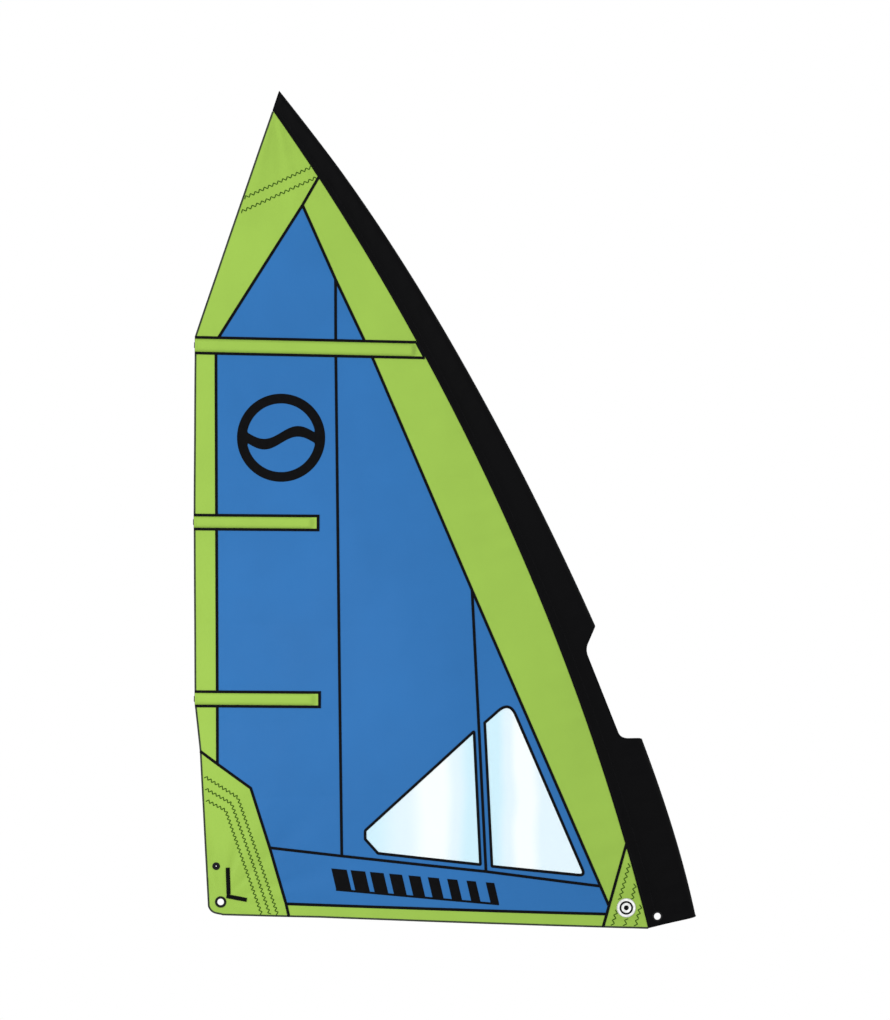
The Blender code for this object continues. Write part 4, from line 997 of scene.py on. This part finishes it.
SEAMS = {
    "head_seam_tape": trim([HEAD_SEAM[0], HEAD_SEAM[1], pocket_edge(HEAD_SEAM[1], HEAD_SEAM[2], 1)], 0.002),
    "luff_seam_tape_upper": [LUFF_SEAM[0], LUFF_SEAM[1], pocket_edge(LUFF_SEAM[1], LUFF_SEAM[2], 1)],
    "luff_seam_tape_lower": trim([pocket_edge(LUFF_SEAM[2], LUFF_SEAM[3], -1), LUFF_SEAM[3], LUFF_SEAM[4], low_luff], 0, 0.002),
    "aft_seam_tape_upper": [AFT_VERTICAL[0], pocket_edge(AFT_VERTICAL[0], AFT_VERTICAL[1], 1)],
    "aft_seam_tape_lower": trim([pocket_edge(AFT_VERTICAL[1], AFT_VERTICAL[2], -1), AFT_VERTICAL[2]], 0, 0.002),
    "fore_seam_tape": trim(FORE_VERTICAL, 0, 0.002),
    "leech_seam_tape_upper": [pocket_edge(*LEECH_SEAM, -1), pocket_edge(*LEECH_SEAM, 1, "middle")],
    "leech_seam_tape_middle": [pocket_edge(*LEECH_SEAM, -1, "middle"), pocket_edge(*LEECH_SEAM, 1, "lower")],
    "leech_seam_tape_lower": trim([pocket_edge(*LEECH_SEAM, -1, "lower"), CLEW_SEAM[1]], 0, 0.001),
    "foot_seam_tape": trim(FOOT_SEAM, 0.002, 0.002),
    "foot_strip_seam_tape": trim([STRIP_SEAM[0], strip_fore], 0.002, 0.002),
    "clew_seam_tape": CLEW_SEAM,
    "tack_seam_tape": trim([(TACK_SEAM[0][0] + 0.006, TACK_SEAM[0][1] + 0.020), TACK_SEAM[1]], 0.001),
}
BACK = {
    "luff_seam_tape_upper": [LUFF_SEAM[0], LUFF_SEAM[1], lt],
    "luff_seam_tape_lower": trim([lt, LUFF_SEAM[3], LUFF_SEAM[4], low_luff], 0, 0.002),
    "head_seam_tape": trim([HEAD_SEAM[0], HEAD_SEAM[1], ht], 0.002),
    "aft_seam_tape_upper": [AFT_VERTICAL[0], vt],
    "aft_seam_tape_lower": trim([vt, AFT_VERTICAL[2]], 0, 0.002),
    "leech_seam_tape_upper": [ht, kt, crossing(*LEECH_SEAM, *POCKETS["middle"][:2])],
    "leech_seam_tape_middle": [crossing(*LEECH_SEAM, *POCKETS["middle"][:2]), crossing(*LEECH_SEAM, *POCKETS["lower"][:2])],
    "leech_seam_tape_lower": trim([crossing(*LEECH_SEAM, *POCKETS["lower"][:2]), CLEW_SEAM[1]], 0, 0.001),
}
for name, path in SEAMS.items():
    parts = [ribbon_mesh(path, TAPE_W, -0.0016, 0.0008, crown=0.0003), ribbon_mesh(BACK.get(name, path), TAPE_W, 0.0016, 0.0008, crown=0.0003)]
    give(joined(f"tape_{name}", parts, M["tape"]), "black_tape", name)

# thin dark edge of the leech and the foot: narrow on this face, wide behind
leech_path = LEECH[:]
leech_path[0] = (leech_path[0][0] - 0.001, leech_path[0][1] - 0.004)
foot_path = FOOT[:]
corner = [LEECH[-1]] + CLEW_ROUND + [FOOT[0]]


def shifted(path, d):
    p = np.array(split(path, 0.05, False))
    m = side_of(p)
    return [tuple(q) for q in (p + m * d)]


hem = [ribbon_mesh(shifted(leech_path + corner[1:], 0.0024), 0.0084, 0.0, 0.0026, cols=3),
       ribbon_mesh(shifted(leech_path, 0.0070), 0.0120, 0.0017, 0.0008, cols=3)]
give(joined("hem_leech", hem, M["hem"]), "black_tape", "leech_hem")
hem = [ribbon_mesh(shifted(foot_path, 0.0014), 0.0084, 0.0, 0.0026, cols=3),
       ribbon_mesh(shifted(foot_path, 0.0070), 0.0120, 0.0017, 0.0008, cols=3)]
give(joined("hem_foot", hem, M["hem"]), "black_tape", "foot_hem")


# ------------------------------------------------------------------ luff sleeve
def sleeve_row(s):
    """Front and sewn points, width and front radius, for an array of shares of the luff."""
    s = np.asarray(s, float)
    zs = SEAM_Z[0] + (SEAM_Z[1] - SEAM_Z[0]) * s
    zf = zs + FRONT_RISE[0] + (FRONT_RISE[1] - FRONT_RISE[0]) * s
    front, sewn = np.stack([front_x(zf), zf], -1), np.stack([seam_x(zs), zs], -1)
    t = sm((s - 0.90) / 0.10)[..., None]
    sewn = sewn * (1 - t) + np.array(LEECH[0]) * t
    front = front * (1 - t) + np.array(HEAD_TIP) * t
    r = SLEEVE_R[0] + (SLEEVE_R[1] - SLEEVE_R[0]) * s
    r = r * (1 - 0.72 * sm((s - 0.965) / 0.035))
    return front, sewn, np.linalg.norm(front - sewn, axis=-1), r


def sleeve_half(w, r, n=40):
    """The half section from nose to sewn edge, as even points (d, t)."""
    flange = SLEEVE_FLANGE * w
    lean = math.asin(min((r - SLEEVE_HALF) / (w - flange - r), 0.9))
    end = math.pi / 2 + lean
    a = np.linspace(0, end, 24)
    arc = np.stack([r - r * np.cos(a), r * np.sin(a)], -1)
    p0, p1, p2 = arc[-1], np.array([w - flange, SLEEVE_HALF]), np.array([w, SLEEVE_HALF])
    f = np.linspace(0, 1, 30)[1:, None]
    # a soft bend where the layers meet, in place of a corner
    straight_run = p0 + (p1 - p0) * f
    flat = p1 + (p2 - p1) * np.linspace(0, 1, 16)[1:, None]
    pts = np.concatenate([arc, straight_run, flat])
    bend = np.abs(pts[:, 0] - p1[0]) < 0.02
    pts[bend, 1] += 0.0009 * (1 - np.abs(pts[bend, 0] - p1[0]) / 0.02) ** 2
    run = np.concatenate([[0], np.cumsum(np.linalg.norm(np.diff(pts, axis=0), axis=1))])
    s = np.linspace(0, run[-1], n)
    return np.stack([np.interp(s, run, pts[:, 0]), np.interp(s, run, pts[:, 1])], -1), run[-1]


LUFF_LEN = 4.36
S_KNOTS = np.linspace(0, 1, 161)
_f, _s, _w, _r = sleeve_row(S_KNOTS)
HALF = [sleeve_half(w, r) for w, r in zip(_w, _r)]
HALF_D = np.array([h[0][:, 0] for h in HALF])
HALF_T = np.array([h[0][:, 1] for h in HALF])
HALF_L = np.array([h[1] for h in HALF])
N_HALF = HALF_D.shape[1]


def half_at(s, q):
    """(d, t) at share s of the luff and share q of the half section, nose to sewn edge."""
    i = np.clip(s * 160, 0, 159.999)
    i0 = i.astype(int)
    fi = i - i0
    j = np.clip(q * (N_HALF - 1), 0, N_HALF - 1.0001)
    j0 = j.astype(int)
    fj = j - j0

    def take(g):
        a = g[i0, j0] * (1 - fj) + g[i0, j0 + 1] * fj
        b = g[i0 + 1, j0] * (1 - fj) + g[i0 + 1, j0 + 1] * fj
        return a * (1 - fi) + b * fi

    return take(HALF_D), take(HALF_T)


def sleeve_point(s, q):
    """Positions on the sleeve's outer face; q runs -1 (sewn, -Y side) through 0 (nose) to 1."""
    front, sewn, w, r = sleeve_row(s)
    d, t = half_at(s, np.abs(q))
    xz = front + (sewn - front) * (d / w)[:, None]
    # creases across the sleeve, strongest between the nose and the sewn band
    aq = np.abs(q)
    mid = sm(aq / 0.18) * sm((0.66 - aq) / 0.22)
    run = s * LUFF_LEN
    near_cut = np.exp(-(((xz[:, 1] - 1.40) / 0.10) ** 2)) + np.exp(-(((xz[:, 1] - 0.76) / 0.10) ** 2))
    ends = np.exp(-s / 0.03) + np.exp(-(1 - s) / 0.05)
    amp = 0.0009 + 0.0014 * np.clip(near_cut + ends, 0, 1) + 0.0006 * np.sin(1.9 * run + 0.5)
    side = np.where(q < 0, 0.0, 1.7)
    lines = np.cos(2 * math.pi * run / 0.118 + 1.5 * np.sin(4.3 * run + side) + 2.2 * aq + side)
    fine = np.cos(2 * math.pi * run / 0.047 + 2.0 * np.sin(3.1 * run + 2 * side) - 3 * aq)
    t = t + mid * (amp * lines + 0.35 * amp * fine) - 0.0006 * mid * mid
    # the sewn band puckers between its stitches
    t = t + 0.00028 * sm((aq - 0.70) / 0.1) * np.cos(2 * math.pi * run / 0.038 + side)
    y = cloth_y(xz[:, 0], xz[:, 1]) + relief(xz[:, 0], xz[:, 1]) * sm((aq - 0.6) / 0.3) + np.sign(q) * t
    return np.stack([xz[:, 0], y, xz[:, 1]], -1)


def sleeve_param(x, z):
    """Shares (s, |q|) of the sleeve's plane figure under the plan point (x, z)."""
    lo, hi = 0.0, 1.0
    p = np.array([x, z])
    for _ in range(50):
        s = (lo + hi) / 2
        f, e, w, r = sleeve_row(np.array([s]))
        v, u = (e - f)[0], p - f[0]
        if v[0] * u[1] - v[1] * u[0] < 0:  # the point lies above this row
            lo = s
        else:
            hi = s
    f, e, w, r = sleeve_row(np.array([s]))
    d = float(np.dot(p - f[0], (e - f)[0]) / w[0])
    i = int(round(s * 160))
    q = np.interp(d, HALF_D[i], np.linspace(0, 1, N_HALF))
    return s, float(q)


def half_len(s):
    return np.interp(s, S_KNOTS, HALF_L)


def unrolled(s, q):
    return (float(q * half_len(s)), float(s * LUFF_LEN))


cut_plan = []
for a, b in zip(CUTOUT, CUTOUT[1:]):
    n = max(2, int(math.dist(a, b) / 0.008))
    cut_plan += [(a[0] + (b[0] - a[0]) * i / n, a[1] + (b[1] - a[1]) * i / n) for i in range(n)]
cut_plan.append(CUTOUT[-1])
# soften the corners of the cut a little
cp = np.array(cut_plan)
for _ in range(3):
    cp[1:-1] = 0.25 * cp[:-2] + 0.5 * cp[1:-1] + 0.25 * cp[2:]
cut_sq = [sleeve_param(x, z) for x, z in cp]
cut_sq[0] = (cut_sq[0][0], 0.0)
cut_sq[-1] = (cut_sq[-1][0], 0.0)
cut_hole = [unrolled(s, q) for s, q in cut_sq] + [unrolled(s, -q) for s, q in cut_sq[-2:0:-1]]

ss = np.linspace(0, 1, 200)
outline = [unrolled(s, -1) for s in ss] + [unrolled(s, 1) for s in ss[::-1]]
eye_s, eye_q = sleeve_param(*TACK_EYE[0])
eye_r = TACK_EYE[1] + BARREL_WALL + 0.0003
eyes = []
for sign in (-1, 1):
    c = unrolled(eye_s, sign * eye_q)
    eyes.append([(c[0] + eye_r * math.cos(2 * math.pi * i / 40), c[1] + eye_r * math.sin(2 * math.pi * i / 40)) for i in range(40)])
fold = [(0.0, float(s * LUFF_LEN)) for s in np.linspace(0, 1, 400)]
p, tri = triangulate(outline, [cut_hole] + eyes, RES * 0.9)
s_all = np.clip(p[:, 1] / LUFF_LEN, 0, 1)
q_all = np.clip(p[:, 0] / half_len(s_all), -1, 1)
outer = sleeve_point(s_all, q_all)
e1 = outer[tri[:, 1]] - outer[tri[:, 0]]
e2 = outer[tri[:, 2]] - outer[tri[:, 0]]
fn = np.cross(e1, e2)
vn = np.zeros_like(outer)
for c in range(3):
    np.add.at(vn, tri[:, c], fn)
vn /= np.maximum(np.linalg.norm(vn, axis=1, keepdims=True), 1e-12)
centre_y = cloth_y(outer[:, 0], outer[:, 2])
probe = np.where(np.abs(q_all) > 0.2, np.sign(outer[:, 1] - centre_y) * vn[:, 1], 0)
if probe.sum() < 0:
    vn = -vn
inner = outer - vn * SLEEVE_T
sleeve = closed_sheet("cloth_luff_sleeve", outer, inner, tri, p)
sleeve.data.materials.append(M["sleeve"])
give(sleeve, "black_sleeve_cloth", "luff_sleeve", "luff_sleeve_head")
pieces["sleeve"] = sleeve
pieces["sleeve_area"] = abs(area(outline)) - abs(area(cut_hole))


def tube_mesh(points, radius, closed=False, sides=8, squash=1.0, up=None):
    """A round or flattened cord through 3-D points."""
    p = np.asarray(points, float)
    if closed:
        d = np.roll(p, -1, 0) - np.roll(p, 1, 0)
    else:
        d = np.gradient(p, axis=0)
    d /= np.maximum(np.linalg.norm(d, axis=1, keepdims=True), 1e-9)
    ref = np.zeros_like(p)
    ref[:, 1] = 1.0
    a = np.cross(d, ref)
    a /= np.maximum(np.linalg.norm(a, axis=1, keepdims=True), 1e-9)
    b = np.cross(d, a)
    n = len(p)
    verts = np.concatenate([p + a * (radius * math.cos(2 * math.pi * j / sides)) + b * (radius * squash * math.sin(2 * math.pi * j / sides)) for j in range(sides)])
    faces = []
    for i in range(n if closed else n - 1):
        i1 = (i + 1) % n
        for j in range(sides):
            j1 = (j + 1) % sides
            faces.append([j * n + i, j1 * n + i, j1 * n + i1, j * n + i1])
    if not closed:
        faces += [[j * n for j in range(sides)], [j * n + n - 1 for j in range(sides - 1, -1, -1)]]
    return verts, faces, np.zeros((len(verts), 2))


# binding of the cut-out and of the mouth: tape folded over the raw edge
bind = np.array([(s, q) for s, q in cut_sq] + [(s, -q) for s, q in cut_sq[-2:0:-1]])
pts = sleeve_point(bind[:, 0], bind[:, 1])
parts = [tube_mesh(pts, 0.0030, closed=True, sides=8, squash=0.8)]
qs = np.linspace(-1, 1, 120)
parts.append(tube_mesh(sleeve_point(np.full(qs.shape, 0.0012), qs), 0.0024, closed=False, sides=8))
give(joined("binding_sleeve", parts, M["webbing"]), "webbing")


# ------------------------------------------------------------------ stitching
def off_front(extra=0.0):
    return -0.0023 - extra


black, green_t = [], []
for name, path in SEAMS.items():
    step = 0.0105
    black.append(thread_mesh(zigzag(path, step, 0.0062), 0.00055, -0.0024, rings=2))
    black.append(thread_mesh(zigzag(BACK.get(name, path), step, 0.0062), 0.00055, 0.0024, rings=2))
for hole in (HOLE_AFT, HOLE_FORE):
    black.append(thread_mesh(zigzag(hole, 0.0105, 0.0062, closed=True), 0.00055, -0.0024, rings=2))
    black.append(thread_mesh(zigzag(grow(hole, 0.006), 0.0105, 0.0080, closed=True), 0.00055, FILM_OFF + 0.0018, rings=2))
for key in POCKETS:
    origin, axis, side, full, half = pocket_frame(key)
    for t in (half - 0.0012, -half + 0.0012):
        a = origin + axis * 0.004 + side * t
        b = origin + axis * (full - 0.008) + side * t
        for face in (-0.0033, 0.0010):
            black.append(thread_mesh(zigzag([(a.x, a.y), (b.x, b.y)], 0.0105, 0.0056), 0.0007, face, rings=2))
stitches = joined("stitches_seams", black, M["thread_black"])
give(stitches, "black_tape")


def clip(path, keep):
    """Only the strokes whose middle satisfies keep."""
    mid = path.mean(1)
    return path[keep(mid[:, 0], mid[:, 1])]


def bars(st, face):
    """Satin bars of three threads each."""
    d = st[:, 1] - st[:, 0]
    d /= np.linalg.norm(d, axis=1, keepdims=True)
    across = np.stack([-d[:, 1], d[:, 0]], -1)[:, None, :]
    for lane in (-1.25, 0.0, 1.25):
        # the threads of a bar don't start level with each other
        ragged = d[:, None, :] * 0.0006 * np.cos(np.arange(len(st)) * 2.3 + lane)[:, None, None]
        green_t.append(thread_mesh(st + across * (lane * 0.00115) + ragged, 0.00075, face, rings=3))


def patch_rows(paths, pitch, width, keep=None):
    for path in paths:
        both = zigzag(path, pitch, width)
        bars(both if keep is None else clip(both, keep), -0.0011)
        bars(both, 0.0011)


patch_rows([[(-2.078, 3.3564), (-1.767, 3.503)], [(-2.093, 3.2913), (-1.740, 3.456)]], 0.0240, 0.0140)
patch_rows([
    [(-2.2630, 0.6589), (-2.109, 0.563), (-2.009, 0.273), (-1.923, 0.016)],
    [(-2.2595, 0.6025), (-2.138, 0.534), (-2.045, 0.273), (-1.960, 0.017)],
    [(-2.2560, 0.5489), (-2.165, 0.501), (-2.087, 0.273), (-1.998, 0.018)],
], 0.0205, 0.0140)
near_badge = lambda x, z: np.hypot(x - BADGE[0][0], z - BADGE[0][1]) > BADGE[1] + 0.004
patch_rows([
    [(-0.282, 0.255), (-0.326, 0.093), (-0.362, -0.034)],
    [(-0.255, 0.160), (-0.268, 0.093), (-0.305, -0.036)],
    [(-0.228, 0.062), (-0.254, -0.038)],
], 0.0250, 0.0150, near_badge)
give(joined("stitches_patches", green_t, M["thread_green"]), "green_cloth")


def sleeve_stitch(q, pitch, width):
    """Zigzag along the sleeve's sewn band on both faces, as 3-D threads."""
    n = int(LUFF_LEN / (pitch / 2))
    s = np.linspace(0.004, 0.992, n)
    out = []
    for sign in (-1, 1):
        hl = half_len(s)
        qq = sign * (q + np.where(np.arange(n) % 2, width, -width) / 2 / hl)
        p3 = sleeve_point(s, qq)
        nrm = np.zeros_like(p3)
        nrm[:, 1] = sign
        p3 = p3 + nrm * 0.0006
        a, b = p3[:-1], p3[1:]
        clear = np.hypot(a[:, 0] - TACK_EYE[0][0], a[:, 2] - TACK_EYE[0][1]) > TACK_EYE[2] + 0.004
        a, b, nrm = a[clear], b[clear], nrm[:-1][clear]
        d = b - a
        d /= np.linalg.norm(d, axis=1, keepdims=True)
        side = np.cross(d, nrm)
        r = 0.0006
        v = np.stack([a + side * r, a + nrm * r, a - side * r, a - nrm * r, b + side * r, b + nrm * r, b - side * r, b - nrm * r], 1).reshape(-1, 3)
        base = [[0, 1, 5, 4], [1, 2, 6, 5], [2, 3, 7, 6], [3, 0, 4, 7], [3, 2, 1, 0], [4, 5, 6, 7]]
        faces = [[i + 8 * k for i in f] for k in range(len(a)) for f in base]
        out.append((v, faces, np.zeros((len(v), 2))))
    return out


give(joined("stitches_sleeve", sleeve_stitch(0.955, 0.011, 0.006) + sleeve_stitch(0.80, 0.011, 0.006), M["thread_black"]), "black_sleeve_cloth")


# ------------------------------------------------------------------ hardware
def revolve(profile, centre, normal, n=64):
    z = Vector(normal).normalized()
    x = Vector((0, 0, 1)).cross(z).normalized()
    y = z.cross(x)
    c = Vector(centre)
    rows = []
    for r, h in profile:
        rows.append([tuple(c + x * (r * math.cos(a)) + y * (r * math.sin(a)) + z * h) for a in (2 * math.pi * k / n for k in range(n))])
    verts = [v for row in rows for v in row]
    faces = []
    m = len(rows)
    for i in range(m):
        i1 = (i + 1) % m
        for k in range(n):
            faces.append([i * n + k, i * n + (k + 1) % n, i1 * n + (k + 1) % n, i1 * n + k])
    return np.array(verts), faces, np.zeros((len(verts), 2))


def arc(cx, cy, r, a0, a1, n=8):
    return [(cx + r * math.cos(a0 + (a1 - a0) * k / n), cy + r * math.sin(a0 + (a1 - a0) * k / n)) for k in range(n + 1)]


def eyelet(name, spec):
    (x, z), hole, flange, half = spec
    centre = (x, float(cloth_y(x, z)), z)
    e = 0.004
    fx = float(cloth_y(x + e, z) - cloth_y(x - e, z)) / (2 * e)
    fz = float(cloth_y(x, z + e) - cloth_y(x, z - e)) / (2 * e)
    nrm = Vector((fx, -1.0, fz)).normalized()
    top = half + EYE_CLEAR
    b = hole + BARREL_WALL
    hi = top + FLANGE_T
    # rolled flange: crowned on the face, curled down to the cloth at its rim, rounded into the barrel
    prof = []
    rr = 0.0014
    prof += arc(flange - rr, hi - rr, rr, -math.pi / 2 * 0.9, math.pi / 2, 7)
    mid_r = (hole + flange) / 2
    prof += [(mid_r + 0.001, hi + 0.0003), (mid_r - 0.001, hi + 0.0003)]
    prof += arc(hole + 0.0022, hi - 0.0022, 0.0022, math.pi / 2, math.pi, 7)
    prof += [(hole, 0.0), (hole, -top - FLANGE_T)]
    prof += arc(hole + 0.0012, -top - FLANGE_T - 0.0002, 0.0012, math.pi, 3 * math.pi / 2, 5)
    prof += [(b, -top - FLANGE_T - 0.0006), (b, top - 0.0002), (flange - rr, top - 0.0004)]
    ring = revolve(prof, centre, nrm)
    ob = joined(f"{name}_ring_shaped", [ring], M["metal"])
    give(ob, "black_metal", f"{name}_ring")
    lo = -top - FLANGE_T
    wash = arc(flange - 0.0008, -top - 0.0008, 0.0008, math.pi / 2, 0, 4) + arc(flange - 0.0008, lo + 0.0008, 0.0008, 0, -math.pi / 2, 4)
    wash += [((b + flange) / 2, lo - 0.0003), (b + 0.0010, lo), (b + 0.0004, lo + 0.0005), (b + 0.0004, -top)]
    ob = joined(f"{name}_washer_shaped", [revolve(wash, centre, nrm)], M["metal"])
    give(ob, "black_metal", f"{name}_washer")
    return centre, nrm


eyelet("clew_eyelet", (CLEW_EYE[0], 0.0152, 0.0266, CLEW_EYE[3]))
eyelet("outhaul_eyelet", (OUTHAUL_EYE[0], 0.0026, OUTHAUL_EYE[2], OUTHAUL_EYE[3]))
eyelet("tack_eyelet", TACK_EYE)

# webbing straps with box stitching
straps = {"clew_strap_leech": [(-2.1560, 0.2340), (-2.1522, 0.1096)], "clew_strap_foot": [(-2.1620, 0.1015), (-2.0670, 0.0840)]}
for name, path in straps.items():
    body = ribbon_mesh(path, 0.0190, -0.0020, 0.0016, cols=7, res=0.004, crown=0.0003)
    give(joined(f"webbing_{name}", [body], M["webbing"]), "webbing", name)
    a, b = Vector(path[0]), Vector(path[1])
    d = (b - a).normalized()
    s = Vector((-d.y, d.x))
    rows = []
    for t in (-0.0072, 0.0072):
        q0, q1 = a + d * 0.004 + s * t, b - d * 0.004 + s * t
        rows.append(straight([tuple(q0), tuple(q1)], 0.0036))
    for end in (a + d * 0.004, b - d * 0.004):
        rows.append(straight([tuple(end + s * -0.0072), tuple(end + s * 0.0072)], 0.0036))
    give(joined(f"stitches_{name}", [thread_mesh(np.concatenate(rows), 0.00055, -0.0033, rings=3)], M["thread_black"]), "webbing")

# badge: white disc, dark stitched rim, plain ring and dot
disc = cloth("badge_disc", circle(BADGE[0], BADGE[1], 64), M["badge"], off=-0.0018, thick=0.0010, res=0.006)
give(disc, "badge", "tack_badge")
c, r = BADGE
ringp = [ribbon_mesh(circle(c, r * 0.62, 48), 0.0085, -0.0026, 0.0006, cols=3, closed=True, res=0.004)]
dot = cloth("badge_dot", circle(c, r * 0.26, 32), M["vinyl"], off=-0.0026, thick=0.0006, res=0.004)
give(dot, "badge")
give(joined("badge_ring", ringp, M["vinyl"]), "badge")
rim = []
n = 150
for i in range(n):
    a = 2 * math.pi * i / n
    rim.append([(c[0] + (r - 0.0030) * math.cos(a), c[1] + (r - 0.0030) * math.sin(a)), (c[0] + (r + 0.0006) * math.cos(a + 0.03), c[1] + (r + 0.0006) * math.sin(a + 0.03))])
give(joined("badge_rim_stitches", [thread_mesh(np.array(rim), 0.0007, -0.0024, rings=3)], M["thread_white"]), "badge")


# ------------------------------------------------------------------ insignia
def emblem():
    cx, cz = EMBLEM_CENTRE
    r = EMBLEM_R - EMBLEM_BAND
    wave = lambda x: 0.030 * math.sin(x / r * 3.2)
    holes = []
    for sign in (1, -1):
        edge = [(-r * 0.965 + 2 * r * 0.965 * k / 44) for k in range(45)]
        low = [(x, wave(x) + sign * EMBLEM_BAND * 0.55) for x in edge]
        a0, a1 = math.atan2(low[-1][1], low[-1][0]), math.atan2(low[0][1], low[0][0])
        if sign > 0:
            a1 += 2 * math.pi if a1 < a0 else 0
        else:
            a1 -= 2 * math.pi if a1 > a0 else 0
        bow = [(r * math.cos(a0 + (a1 - a0) * k / 60), r * math.sin(a0 + (a1 - a0) * k / 60)) for k in range(1, 60)]
        holes.append([(cx + x, cz + z) for x, z in low + bow])
    return cloth("insignia_emblem", circle(EMBLEM_CENTRE, EMBLEM_R, 120), M["vinyl"], off=-0.0012, thick=0.0006, holes=holes, res=0.010)


give(emblem(), "black_tape", "emblem")


def stripe():
    x0, x1, top, lean = -1.650, -0.840, 0.104, 0.022
    base = lambda x: 0.1285 - (x - x0) * 0.0865
    count, rail = 9, 0.010
    pitch = (x1 - x0) / count
    upper = []
    for i in range(count):
        a = x0 + i * pitch
        b = a + pitch * (0.80 - 0.045 * i)
        upper += [(a, base(a) + rail), (a - lean, base(a) + top), (b - lean, base(b) + top), (b, base(b) + rail)]
    end = x0 + (count - 1) * pitch + pitch * (0.80 - 0.045 * (count - 1))
    pts = [(x0, base(x0)), (end, base(end))] + list(reversed(upper))
    return cloth("insignia_foot_stripe", pts, M["vinyl"], off=-0.0012, thick=0.0006, res=0.010)


give(stripe(), "black_tape", "foot_stripe")

# ------------------------------------------------------------------ battens and the tip cup keep their CAD shape
for key in POCKETS:
    for suffix, mat in (("batten", "fibre"), ("batten_end_cap", "plastic"), ("batten_tip", "plastic")):
        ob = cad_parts[f"{key}_{suffix}"]
        ob.data.materials.clear()
        ob.data.materials.append(M[mat])
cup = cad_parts["mast_tip_cap"]
cup.data.materials.clear()
cup.data.materials.append(M["plastic"])

# ------------------------------------------------------------------ what each cloth piece was cut to
HOLDS = {"head_patch": ["sleeve"], "luff_panel_upper": ["sleeve"], "luff_panel_lower": ["sleeve"], "tack_patch": ["sleeve"]}
for name in PANELS:
    w, l, a = pieces[name + "_flat"]
    share = a / (w * l)
    if share < 0.3:  # a long slanted panel: give its own length and mean width
        l = math.hypot(w, l)
        w = a / l * 1.6
for side in ("aft", "fore"):
    w, l, a = pieces[f"window_{side}_flat"]
for key in POCKETS:
    origin, axis, side, full, half = pocket_frame(key)

# ------------------------------------------------------------------ studio
world = bpy.data.worlds.new("studio")
bpy.context.scene.world = world
world.use_nodes = True
world.node_tree.nodes["Background"].inputs[0].default_value = (1, 1, 1, 1)
world.node_tree.nodes["Background"].inputs[1].default_value = 1.0


def area_light(name, loc, target, size, watts, colour=(1, 1, 1)):
    data = bpy.data.lights.new(name, "AREA")
    data.shape = "RECTANGLE"
    data.size, data.size_y = size
    data.energy = watts
    data.color = colour
    ob = bpy.data.objects.new(name, data)
    ob.location = loc
    ob.rotation_euler = (Vector(target) - Vector(loc)).to_track_quat("-Z", "Y").to_euler()
    bpy.context.scene.collection.objects.link(ob)
    return ob


area_light("key", (-9.0, -6.5, 3.4), (-1.3, 0, 1.7), (2.6, 3.4), 720)
area_light("side", (6.5, -3.0, 2.6), (-0.8, 0, 1.6), (2.0, 4.0), 85)
area_light("back", (2.5, 7.0, 5.5), (-1.2, 0, 1.8), (3.0, 3.0), 260)

K = 0.00466
cam_data = bpy.data.cameras.new("camera")
cam_data.lens = 200
cam_data.sensor_width = 36
cam_data.clip_end = 200
cam = bpy.data.objects.new("camera", cam_data)
height = 1020 * K
cam.location = (-245 * K, -0.05 - cam_data.lens * height / 36.0, 408.5 * K)
cam.rotation_euler = (math.pi / 2, 0, 0)
bpy.context.scene.collection.objects.link(cam)
bpy.context.scene.camera = cam
bpy.context.scene.view_settings.view_transform = "Standard"
